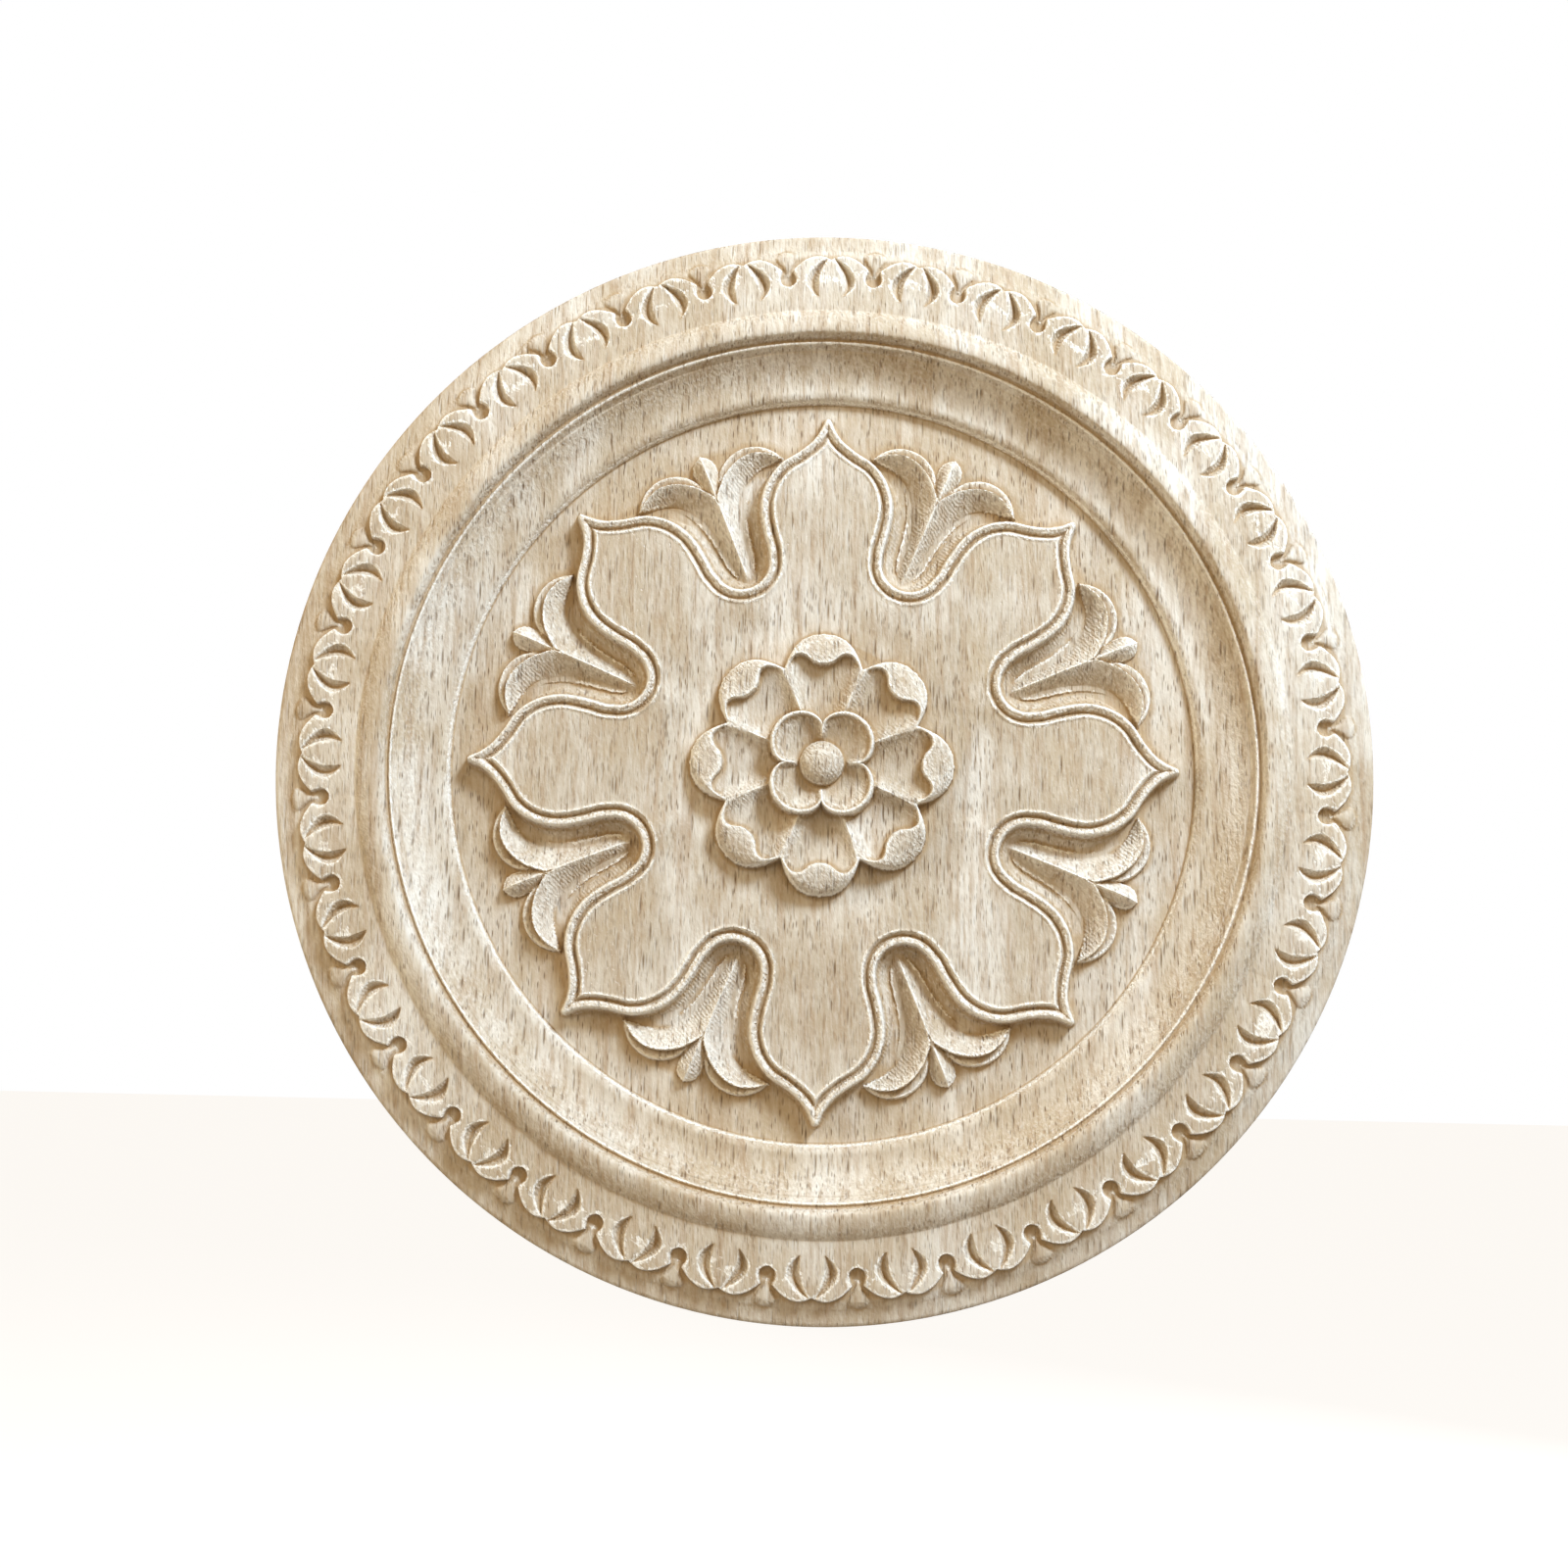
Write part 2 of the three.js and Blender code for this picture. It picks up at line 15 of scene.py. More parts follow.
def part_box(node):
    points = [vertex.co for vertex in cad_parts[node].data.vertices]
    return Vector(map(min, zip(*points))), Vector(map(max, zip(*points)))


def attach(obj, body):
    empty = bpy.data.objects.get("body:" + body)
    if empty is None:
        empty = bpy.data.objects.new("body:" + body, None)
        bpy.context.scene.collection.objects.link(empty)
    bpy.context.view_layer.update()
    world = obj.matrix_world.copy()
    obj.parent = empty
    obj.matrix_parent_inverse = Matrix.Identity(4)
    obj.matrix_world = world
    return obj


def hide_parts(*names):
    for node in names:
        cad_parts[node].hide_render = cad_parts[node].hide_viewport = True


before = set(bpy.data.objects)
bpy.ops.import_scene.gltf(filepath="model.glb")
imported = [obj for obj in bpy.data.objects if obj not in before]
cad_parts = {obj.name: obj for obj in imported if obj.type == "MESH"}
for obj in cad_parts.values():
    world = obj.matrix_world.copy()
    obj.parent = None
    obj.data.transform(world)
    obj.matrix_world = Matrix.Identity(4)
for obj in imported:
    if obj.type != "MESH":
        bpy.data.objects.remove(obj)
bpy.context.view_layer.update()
MM = 0.001
low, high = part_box("carved_rosette")
print("solid:", [round((b - a) / MM, 1) for a, b in zip(low, high)], "mm")

# %% [markdown]
# The picture was taken from a little below and from close by, so the far side of the ring is
# slightly smaller than the near side. A camera can be aimed by eye, or solved from points of
# the object whose places are known. Solving is surer for a round thing that almost fills the
# frame: the eight lobe tips and four rings were measured and one camera was fitted to them.

# %% Camera
IMAGE_SIDE = 1600
SENSOR_WIDTH = 36
NEAREST_SEEN = 0.01
CAMERA_TURN = math.radians(1.139)
CAMERA_RISE = math.radians(-6.445)
CAMERA_ROLL = math.radians(1.215)
CAMERA_DISTANCE = 350 * MM
FOCAL_PIXELS = 1904.3
aim = Vector((-7.0 * MM, 0, -2.6 * MM))

backward = Vector(
    (
        math.sin(CAMERA_TURN) * math.cos(CAMERA_RISE),
        -math.cos(CAMERA_TURN) * math.cos(CAMERA_RISE),
        math.sin(CAMERA_RISE),
    )
)
bpy.ops.object.camera_add()
camera = bpy.context.object
camera.name = "camera"
camera.data.sensor_width = SENSOR_WIDTH
camera.data.lens = SENSOR_WIDTH * FOCAL_PIXELS / IMAGE_SIDE
camera.data.clip_start = NEAREST_SEEN
upright = backward.to_track_quat("Z", "Y").to_matrix()
camera.matrix_world = (
    Matrix.Translation(aim + backward * CAMERA_DISTANCE)
    @ upright.to_4x4()
    @ Matrix.Rotation(CAMERA_ROLL, 4, "Z")
)
bpy.context.scene.camera = camera
print("camera lens", round(camera.data.lens, 2), "mm at", round(CAMERA_DISTANCE, 3), "m")

# %% [markdown]
# Carving only shows by its light and shade. In the picture a cool lamp, high on the right,
# rakes across the face. A weaker warm one stands near the camera, and another far out on the
# left fills the shade. Their places and strengths can be guessed, or found by comparing the
# same patches of wood in the picture and in trial renders with one lamp each, and that was
# done here. A fourth lamp lights the back. Surround and floor are brighter to the camera than
# to the wood, so the ground behind stays pale without washing out the carving.


# %% Lamps
def add_lamp(name, place, target, size, power, colour):
    bpy.ops.object.light_add(type="AREA", location=place)
    lamp = bpy.context.object
    lamp.name = name
    lamp.data.shape = "DISK"
    lamp.data.size = size
    lamp.data.energy = power
    lamp.data.color = colour
    lamp.rotation_euler = (Vector(target) - Vector(place)).to_track_quat("-Z", "Y").to_euler()
    return lamp


def from_face(slant, turn, distance):
    """A place that many degrees off the face's own axis, turned clockwise from straight up."""
    slant, turn = math.radians(slant), math.radians(turn)
    return (
        distance * math.sin(slant) * math.sin(turn),
        -distance * math.cos(slant),
        distance * math.sin(slant) * math.cos(turn),
    )


CENTRE = (0, 0, 0)
# degrees off the face's axis, degrees clockwise from up, distance, size, power, colour
LAMPS = {
    "key_lamp": (56, 36, 0.66, 0.2, 5.45, (0.80, 1.02, 1.32)),
    "front_lamp": (20, 0, 1.1, 0.45, 2.0, (1.0, 0.80, 0.50)),
    "left_lamp": (70, -75, 0.9, 0.5, 2.7, (1.0, 0.90, 0.70)),
    "back_lamp": (140, 60, 1.3, 0.8, 16.0, (1.0, 0.98, 0.95)),
}
lamps = {}
for name, (slant, turn, distance, size, power, colour) in LAMPS.items():
    place = from_face(slant, turn, distance)
    lamps[name] = add_lamp(name, place, CENTRE, size, power, colour)
lamps["back_lamp"].visible_camera = False
print("lamps:", list(lamps))

# %% Surround
SURROUND_TO_CAMERA, SURROUND_TO_WOOD = 1.0, 0.43
SURROUND_TINT = (1.0, 0.78, 0.50, 1)
WHITE = (1, 1, 1, 1)
# the colour sockets of a Mix node share their labels with others, so they go by number
MIX_SHARE, MIX_FIRST, MIX_SECOND, MIX_RESULT = 0, 6, 7, 2
world = bpy.data.worlds.new("studio")
bpy.context.scene.world = world
world.use_nodes = True
nodes = world.node_tree.nodes
links = world.node_tree.links
background = nodes["Background"]
light_path = nodes.new("ShaderNodeLightPath")
tint = nodes.new("ShaderNodeMix")
tint.data_type = "RGBA"
tint.inputs[MIX_FIRST].default_value = SURROUND_TINT
tint.inputs[MIX_SECOND].default_value = WHITE
strength = nodes.new("ShaderNodeMapRange")
strength.inputs["To Min"].default_value = SURROUND_TO_WOOD
strength.inputs["To Max"].default_value = SURROUND_TO_CAMERA
links.new(light_path.outputs["Is Camera Ray"], tint.inputs[MIX_SHARE])
links.new(light_path.outputs["Is Camera Ray"], strength.inputs["Value"])
links.new(tint.outputs[MIX_RESULT], background.inputs["Color"])
links.new(strength.outputs["Result"], background.inputs["Strength"])
print("surround:", SURROUND_TO_CAMERA, "to the camera,", SURROUND_TO_WOOD, "to the wood")

# %% Floor
FLOOR_HEIGHT, FLOOR_SIZE = -0.42, 12
FLOOR_GREY = (0.36, 0.37, 0.39, 1)
FLOOR_ROUGHNESS = 0.9
FLOOR_GLOW = 0.80
bpy.ops.mesh.primitive_plane_add(size=FLOOR_SIZE, location=(0, 0, FLOOR_HEIGHT))
floor = bpy.context.object
floor.name = "floor"
paint = bpy.data.materials.new("pale_floor")
paint.use_nodes = True
paint_shader = paint.node_tree.nodes["Principled BSDF"]
paint_shader.inputs["Base Color"].default_value = FLOOR_GREY
paint_shader.inputs["Roughness"].default_value = FLOOR_ROUGHNESS
paint_shader.inputs["Emission Color"].default_value = WHITE
seen = paint.node_tree.nodes.new("ShaderNodeLightPath")
glow = paint.node_tree.nodes.new("ShaderNodeMapRange")
glow.inputs["To Max"].default_value = FLOOR_GLOW
paint.node_tree.links.new(seen.outputs["Is Camera Ray"], glow.inputs["Value"])
paint.node_tree.links.new(glow.outputs["Result"], paint_shader.inputs["Emission Strength"])
floor.data.materials.append(paint)
bpy.context.scene.view_settings.view_transform = "Standard"
print("floor", FLOOR_SIZE, "m wide, at", FLOOR_HEIGHT, "m")

# %% [markdown]
# The whole face is one sheet of wood at different heights, with no undercut anywhere: that is
# what a cutter that moves over a board leaves. So the surface can be told as one number for
# each place, the height above the back. Modelling each leaf by hand and joining them would
# leave seams and hard creases that the real carving doesn't have. Instead each form below is
# a small rule that gives its height, and the highest of them wins. Sizes are millimetres.

# %% Helpers for the rules


def ease(value, start, end):
    """0 before start, 1 after end, and smooth between them."""
    share = np.clip((value - start) / (end - start), 0, 1)
    return share * share * (3 - 2 * share)


def through(value, table):
    """Straight steps through a table of (value, result) pairs."""
    places, results = zip(*table)
    return np.interp(value, places, results)


def smooth_line(points, steps=8):
    """A smooth line through points, with that many steps between two of them."""
    points = np.asarray(points, float)
    padded = np.vstack([2 * points[0] - points[1], points, 2 * points[-1] - points[-2]])
    share = np.linspace(0, 1, steps, endpoint=False)[:, None]
    line = []
    for before, start, end, after in zip(padded, padded[1:], padded[2:], padded[3:]):
        bend = 2 * before - 5 * start + 4 * end - after
        swing = 3 * start - before - 3 * end + after
        line.append(
            0.5 * (2 * start + (end - before) * share + bend * share**2 + swing * share**3)
        )
    line.append(points[-1:])
    return np.vstack(line)


def to_line(x, y, line):
    """Distance to a line, the side it is on (+1 left) and how far along it, from 0 to 1."""
    nearest = np.full(x.shape, np.inf)
    side = np.zeros(x.shape)
    along = np.zeros(x.shape)
    lengths = np.concatenate([[0], np.cumsum(np.hypot(*np.diff(line, axis=0).T))])
    for i, ((ax, ay), (bx, by)) in enumerate(zip(line, line[1:])):
        dx, dy = bx - ax, by - ay
        share = np.clip(((x - ax) * dx + (y - ay) * dy) / (dx * dx + dy * dy), 0, 1)
        ex, ey = x - ax - share * dx, y - ay - share * dy
        distance = np.hypot(ex, ey)
        closer = distance < nearest
        nearest = np.where(closer, distance, nearest)
        side = np.where(closer, np.sign(dx * ey - dy * ex), side)
        here = (lengths[i] + share * (lengths[i + 1] - lengths[i])) / lengths[-1]
        along = np.where(closer, here, along)
    return nearest, side, along


def within(x, y, outline):
    """True for points inside a closed outline."""
    inside = np.zeros(x.shape, bool)
    for (ax, ay), (bx, by) in zip(outline, np.roll(outline, -1, axis=0)):
        if ay != by:
            inside ^= ((ay > y) != (by > y)) & (x < (bx - ax) * (y - ay) / (by - ay) + ax)
    return inside


# the height of a form outside its outline: lower than anything else
NOWHERE = -9.0
print("helpers ready, nowhere is", NOWHERE, "mm")

# %% [markdown]
# First the turned part: what a lathe would leave if nothing else were carved. From the rim
# inwards come a sloping outer band, the floor under the leaves, a roll that is steeper on its
# inner side, a fine quirk with a fillet, a hollow cove, a quarter-round step and the sunk ground.

# %% Turned mouldings
BODY_RADIUS = 100.0
GROUND, GROUND_STEP = 6.4, 0.1
COVE_OUTER, COVE_INNER, COVE_BOTTOM, COVE_CURVE = 76.95, 70.6, 8.6, 8.8
COVE_POINTS = 40
OVOLO_OUTER, OVOLO_INNER, OVOLO_FULLNESS = 70.5, 68.5, 0.9
OVOLO_POINTS = 24
# pairs of radius and height
OUTER_BAND = [(BODY_RADIUS, 10.0), (99.75, 10.3), (99.3, 10.5), (94.9, 11.6), (85.1, 11.6)]
ROLL = [
    (84.9, 12.7), (84.6, 13.1), (84.0, 13.6), (83.3, 14.02), (82.5, 14.36), (81.6, 14.62),
    (80.9, 14.73), (80.4, 14.72), (80.0, 14.6), (79.7, 14.25), (79.5, 13.8), (79.3, 13.2),
]
QUIRK_AND_FILLET = [
    (79.15, 12.8), (78.95, 12.65), (78.75, 12.75), (78.55, 13.0), (78.38, 13.08),
    (78.15, 12.85), (77.9, 12.3), (77.65, 11.8), (77.4, 11.45), (77.2, 11.45),
]
profile = OUTER_BAND + [tuple(point) for point in smooth_line(ROLL, 4)] + QUIRK_AND_FILLET
cove_turn = math.asin((COVE_OUTER - COVE_INNER) / COVE_CURVE)
for angle in np.linspace(cove_turn, 0, COVE_POINTS):
    rise = COVE_CURVE * (1 - math.cos(angle))
    profile.append((COVE_INNER + COVE_CURVE * math.sin(angle), COVE_BOTTOM + rise))
for angle in np.linspace(0, np.pi / 2, OVOLO_POINTS):
    drop = (COVE_BOTTOM - GROUND - GROUND_STEP) * math.cos(angle) ** OVOLO_FULLNESS
    radius = OVOLO_OUTER - (OVOLO_OUTER - OVOLO_INNER) * math.sin(angle)
    profile.append((radius, GROUND + GROUND_STEP + drop))
profile += [(67.9, GROUND + GROUND_STEP / 2), (67.3, GROUND), (0, GROUND)]
profile.reverse()


def turned_height(radius):
    return through(radius, profile)


print("turned section:", len(profile), "points")

# %% [markdown]
# The border has 36 leaves. A leaf has two round lobes and two curved cuts that leave an
# egg-shaped middle. Between two leaves is a gap like a keyhole with a low dart in its mouth.
# All leaves are alike, so the turn around the centre is folded onto one leaf, and the rule is
# written once for half of it.

# %% Leaf border
LEAF_COUNT = 36
LEAF_TOP = 13.0
LOBE_MIDDLE, LOBE_TIP = 2.5, 95.45
# how far a lobe's end falls back, over what width, towards the leaf's middle and the gap
INNER_FALL, INNER_WIDTH, OUTER_FALL, OUTER_WIDTH = 0.75, 2.6, 0.5, 2.0
GAP_SIDE_LEAN = 0.9
LEAF_WALL = (-0.12, 0.3)
LEAF_ROUND, LEAF_ROUND_WIDTH = 0.16, 0.7
CUT_OUTER, CUT_INNER, CUT_DEPTH = 94.85, 87.2, 1.6
CUT_INNER_END, CUT_OUTER_END = (87.1, 87.4), (94.7, 94.95)
# a cut's distance from the leaf's middle: at its outer end, gained inwards, gained by its bow
CUT_PLACE, CUT_SPREAD, CUT_BOW = 0.45, 1.65, 2.0
CUT_END_HALF, CUT_HALF = 0.06, 1.1
CUT_SWELL = 0.75
DART_INNER, DART_OUTER = 91.8, 96.8
GAP_HALF = [
    (89.5, -0.4), (89.75, 0.55), (90.3, 1.15), (91.1, 1.38), (91.9, 1.2), (92.6, 0.92),
    (93.2, 0.8), (93.9, 1.0), (94.5, 1.5), (95.0, 2.3), (95.4, 3.4),
]
DART_HALF = [
    (DART_INNER, 0.1), (92.8, 0.45), (93.5, 0.75), (94.4, 1.5), (95.2, 2.1), (95.8, 2.1),
    (96.3, 1.7), (96.6, 1.0), (DART_OUTER, 0.05),
]
DART_RISE = [(DART_INNER, 0.1), (93.5, 0.6), (95.4, 0.6), (96.4, 0.4), (DART_OUTER, 0.05)]
FLOOR_LINE = [(85, 11.6), (89.5, 11.75), (93.0, 11.6), (95.4, 11.55), (99.4, 10.5)]


def border_height(radius, turn):
    unit = 2 * np.pi / LEAF_COUNT
    fold = np.abs((turn + unit / 2) % unit - unit / 2)
    from_leaf = radius * np.sin(fold)
    from_gap = radius * np.sin(unit / 2 - fold)
    inner_side = INNER_FALL * ((from_leaf - LOBE_MIDDLE) / INNER_WIDTH) ** 2
    outer_side = OUTER_FALL * ((from_leaf - LOBE_MIDDLE) / OUTER_WIDTH) ** 2
    lobe = LOBE_TIP - np.where(from_leaf < LOBE_MIDDLE, inner_side, outer_side)
    into_leaf = (from_gap - through(radius, GAP_HALF)) * GAP_SIDE_LEAN
    inward = np.minimum(lobe - radius, into_leaf)
    floor_here = through(radius, FLOOR_LINE)
    height = floor_here + (LEAF_TOP - floor_here) * ease(inward, *LEAF_WALL)
    height = height - LEAF_ROUND * np.exp(-np.clip(inward, 0, 9) / LEAF_ROUND_WIDTH)
    # the two curved cuts
    share = np.clip((CUT_OUTER - radius) / (CUT_OUTER - CUT_INNER), 0, 1)
    swell = np.sin(np.pi * share)
    middle = CUT_PLACE + CUT_SPREAD * share + CUT_BOW * swell**0.85
    half = CUT_END_HALF + CUT_HALF * swell**CUT_SWELL
    across = np.clip(1 - np.abs(from_leaf - middle) / half, 0, 1)
    ends = ease(radius, *CUT_INNER_END) * (1 - ease(radius, *CUT_OUTER_END))
    height = height - CUT_DEPTH * across**0.8 * swell**CUT_SWELL * ends
    # the dart
    width = np.maximum(through(radius, DART_HALF), 0.02)
    crown = np.sqrt(np.clip(1 - (from_gap / width) ** 2, 0, 1))
    on_dart = (radius > DART_INNER) & (radius < DART_OUTER)
    dart = np.where(on_dart, floor_here + through(radius, DART_RISE) * crown, NOWHERE)
    return np.maximum(height, np.where(inward < 0.05, dart, NOWHERE))


print("border:", LEAF_COUNT, "leaves")

# %% [markdown]
# The plate has eight lobes, each drawn out to a point, and a round gap between every two. Its
# edge is the finest line of the carving: a bead, and a groove just inside it. Both follow the
# outline at a fixed distance, so the outline is drawn once as a smooth line for half a lobe,
# and the edge rule only asks how far a place is from it.

# %% Lobed plate
LOBE_COUNT = 8
PLATE = 9.8
HALF_LOBE = [
    (0, 64.5), (0.95, 62.4), (2.4, 60.4), (4.9, 58.3), (8.3, 56), (10.5, 53),
    (11.55, 49.6), (11.55, 46.5), (10.85, 43.0), (10.05, 40.2),
]
GAP_RADIUS, GAP_ARC, GAP_SWEEP, GAP_POINTS = 40.7, 5.75, 1.35, 8
BEAD_HALF, BEAD_FOOT, BEAD_RISE = 0.5, 0.5, 0.7
GROOVE_PLACE, GROOVE_HALF, GROOVE_DEPTH = 1.12, 0.62, 1.05
INNER_LINE, INNER_LINE_HALF, INNER_LINE_RISE = 2.0, 0.26, 0.26
SLOPE_START, SIDE_WIDTH = 0.95, 0.45
# pairs of radius and width or height: the plate's outer slope, and what it starts and ends on
SLOPE_WIDTH = [(38, 3.3), (50, 2.6), (56, 1.3)]
SHELF = [(38, 7.7), (50, 7.5), (56, 6.9)]
GAP_GROUND = [(36, 5.9), (44, 5.95), (52, 6.15), (58, GROUND)]
SWELLING_RISE, SWELLING_HALF = 0.45, 3.2
SWELLING_INNER, SWELLING_OUTER = (25, 30), (31.5, 34.8)
DISH_DEPTH, DISH_SLOPE = 0.9, (24, 37)
HALF_TURN = math.pi / LOBE_COUNT

gap_centre = GAP_RADIUS * np.array([math.sin(HALF_TURN), math.cos(HALF_TURN)])
gap_points = [
    gap_centre + GAP_ARC * np.array([math.cos(a), math.sin(a)])
    for a in np.linspace(-GAP_SWEEP, 0, GAP_POINTS) + 1.5 * math.pi - HALF_TURN
]
plate_edge = smooth_line(HALF_LOBE + [tuple(p) for p in gap_points])


def fold_to_lobe(x, y):
    """Radius, and the turn away from the nearest lobe's middle line."""
    turn = np.arctan2(x, y)
    step = 2 * np.pi / LOBE_COUNT
    return np.hypot(x, y), np.abs((turn + step / 2) % step - step / 2)


def plate_height(x, y):
    """Height of the plate and its outer slope, and the distance inward from its bead."""
    radius, fold = fold_to_lobe(x, y)
    across, along = radius * np.sin(fold), radius * np.cos(fold)
    distance, side, _ = to_line(across, along, plate_edge)
    inward = -distance * side
    outward = distance * side
    # outside: a short steep side, then a slope down to the ground of the gap
    spread, shelf = through(radius, SLOPE_WIDTH), through(radius, SHELF)
    bottom = through(radius, GAP_GROUND)
    side_share = np.clip((outward - BEAD_HALF) / SIDE_WIDTH, 0, 1)
    slope_share = np.clip((outward - SLOPE_START) / (spread - SLOPE_START), 0, 1)
    steep = PLATE - BEAD_FOOT + (shelf - PLATE + BEAD_FOOT) * side_share
    slope = shelf + (bottom - shelf) * slope_share**0.8
    outside = np.where(outward > SLOPE_START, slope, steep)
    crown = np.sqrt(np.clip(1 - (inward / BEAD_HALF) ** 2, 0, 1))
    bead = PLATE - BEAD_FOOT + BEAD_RISE * crown
    dip = np.clip(1 - np.abs(inward - GROOVE_PLACE) / GROOVE_HALF, 0, 1)
    groove = PLATE - GROOVE_DEPTH * dip
    # the panel: dished around the rosette, with a soft swelling inside every gap
    swelling = np.exp(-(((HALF_TURN - fold) * radius / SWELLING_HALF) ** 2))
    swelling = SWELLING_RISE * swelling * ease(radius, *SWELLING_INNER)
    swelling = swelling * (1 - ease(radius, *SWELLING_OUTER))
    line = INNER_LINE_RISE * np.exp(-(((inward - INNER_LINE) / INNER_LINE_HALF) ** 2))
    panel = PLATE - DISH_DEPTH * (1 - ease(radius, *DISH_SLOPE)) + swelling + line
    top = np.where(inward > BEAD_HALF, np.minimum(groove, panel), bead)
    top = np.where(inward > GROOVE_PLACE + GROOVE_HALF, panel, top)
    return np.where(inward < -BEAD_HALF, outside, top), inward


print("plate edge:", len(plate_edge), "points for half a lobe")

# %% [markdown]
# A lily grows in each gap of the plate. Its stem is a roof with a sharp ridge. The ridge
# splits into the high outer edges of two leaves that curl away and fall towards their inner
# edges. A lower leaf shows as a narrow band behind them, and a bud stands between them.

# %% Lilies
CREST_LINE = smooth_line(
    [
        (0, 36.4), (0, 42), (0, 48), (0, 52.2), (0.35, 54.0), (1.5, 55.6), (3.3, 57.4),
        (6.0, 58.9), (8.8, 59.35), (11.6, 58.6), (14.3, 56.7),
    ],
    6,
)
FOOT_LINE = smooth_line(
    [
        (2.0, 36.8), (2.05, 41), (2.3, 45), (3.2, 49), (4.6, 52.2), (6.6, 54.8),
        (9.2, 56.2), (11.8, 56.5), (14.3, 56.7),
    ],
    6,
)
CREST_RISE = [(0, 0.3), (0.12, 1.5), (0.3, 2.6), (0.55, 3.1), (0.8, 3.1), (0.93, 2.6), (1, 1.8)]
FOOT_RISE = [(0, -0.5), (0.1, -0.45), (0.4, -0.2), (0.7, 0.1), (0.9, 0.5), (1, 1.2)]
LEAF_OUTLINE = np.vstack([CREST_LINE, FOOT_LINE[::-1]])
INNER_SIDE = np.vstack([FOOT_LINE, [(14.3, 50), (2.0, 36)]])
UNDER_CENTRE, UNDER_RADIUS = (7.9, 54.5), 6.9
UNDER_FOOT, UNDER_RISE, UNDER_ROUND, UNDER_FALL = 0.1, 1.4, 0.4, 0.35
UNDER_START, UNDER_END = (1.0, 53.5), (12.9, 56.8)
BUD_START, BUD_END, BUD_FOOT, BUD_RISE = 51.8, 62.5, 0.2, 2.8
BUD_ROUND, BUD_RIDGE, BUD_RIDGE_HALF = 0.4, 0.6, 2.3
BUD_HALF = [
    (BUD_START, 0.1), (53.6, 0.75), (54.8, 1.2), (56, 1.6), (58, 2.1), (59.8, 2.35),
    (61.2, 1.95), (62.1, 1.1), (BUD_END, 0.1),
]
BUD_SWELL = [(BUD_START, 0.8), (54.5, 0.85), (58, 1.0), (60.5, 0.95), (BUD_END, 0.5)]
WALL = 0.4


def lily_height(x, y):
    radius, fold = fold_to_lobe(x, y)
    turn = HALF_TURN - fold
    across, along = radius * np.sin(turn), radius * np.cos(turn)
    to_crest, _, crest_share = to_line(across, along, CREST_LINE)
    to_foot, _, foot_share = to_line(across, along, FOOT_LINE)
    inside = within(across, along, LEAF_OUTLINE)
    share = to_foot / (to_crest + to_foot + 1e-6)
    crest = through(crest_share, CREST_RISE)
    foot = through(foot_share, FOOT_RISE)
    leaf = np.where(inside, GROUND + foot + (crest - foot) * share, NOWHERE)
    # a steep wall falls from the crest to the ground
    fall = GROUND + crest * (1 - to_crest / WALL)
    leaf = np.where(~inside & (to_crest < WALL) & (to_foot > to_crest), fall, leaf)
    # the lower leaf
    from_centre = np.hypot(across - UNDER_CENTRE[0], along - UNDER_CENTRE[1])
    edge = UNDER_RADIUS - from_centre
    rim = UNDER_RISE * np.clip(edge / UNDER_ROUND, 0, 1) ** 0.7
    under = GROUND + UNDER_FOOT + rim - UNDER_FALL * edge
    begun = (across > UNDER_START[0]) & (along > UNDER_START[1])
    ended = (across > UNDER_END[0]) & (along < UNDER_END[1])
    inner_side = within(across, along, INNER_SIDE)
    under = np.where((edge > 0) & begun & ~ended & ~inner_side, under, NOWHERE)
    # the bud
    crown = np.clip(1 - (across / through(along, BUD_HALF)) ** 2, 0, 1)
    ridge = BUD_RIDGE * np.clip(1 - across / BUD_RIDGE_HALF, 0, 1)
    ridge = BUD_ROUND * np.sqrt(crown) + ridge
    bud = GROUND + BUD_FOOT + BUD_RISE * ridge * through(along, BUD_SWELL)
    bud = np.where((along > BUD_START) & (along < BUD_END) & (crown > 0), bud, NOWHERE)
    return np.maximum.reduce([leaf, under, bud])


print("lilies:", LOBE_COUNT)

# %% [markdown]
# The rosette has eight hollow petals whose ends roll over into lips with a point in their
# middle. On them lies an inner flower of four cups around a button. The outlines swing in
# and out with the turn, so they are tables of radius against the turn from a petal's middle.

# %% Rosette
HALF_PETAL = 22.5  # degrees
PETAL_EDGE = [
    (0, 24.15), (5, 24.0), (10, 23.3), (14, 22.2), (17, 21.1), (19.5, 20.1), (21.3, 19.3),
    (HALF_PETAL, 18.9),
]
LIP_EDGE = [
    (0, 18.3), (3, 18.4), (6, 18.9), (8, 19.7), (10, 20.3), (12, 20.6), (14, 20.6),
    (16, 20.3), (18, 19.8), (20, 19.2), (HALF_PETAL, 18.6),
]
PETAL_FOOT = 0.1
LIP_RISE, LIP_FALL, LIP_FALL_START = 2.9, 0.7, 12
LIP_WALL = (-0.45, 0.05)
BOWL_INNER, BOWL_LENGTH, BOWL_CLIMB, BOWL_SIDE = 11.5, 8.0, 0.7, 1.6
BETWEEN_HALF, BETWEEN_RISE = 1.15, 0.5
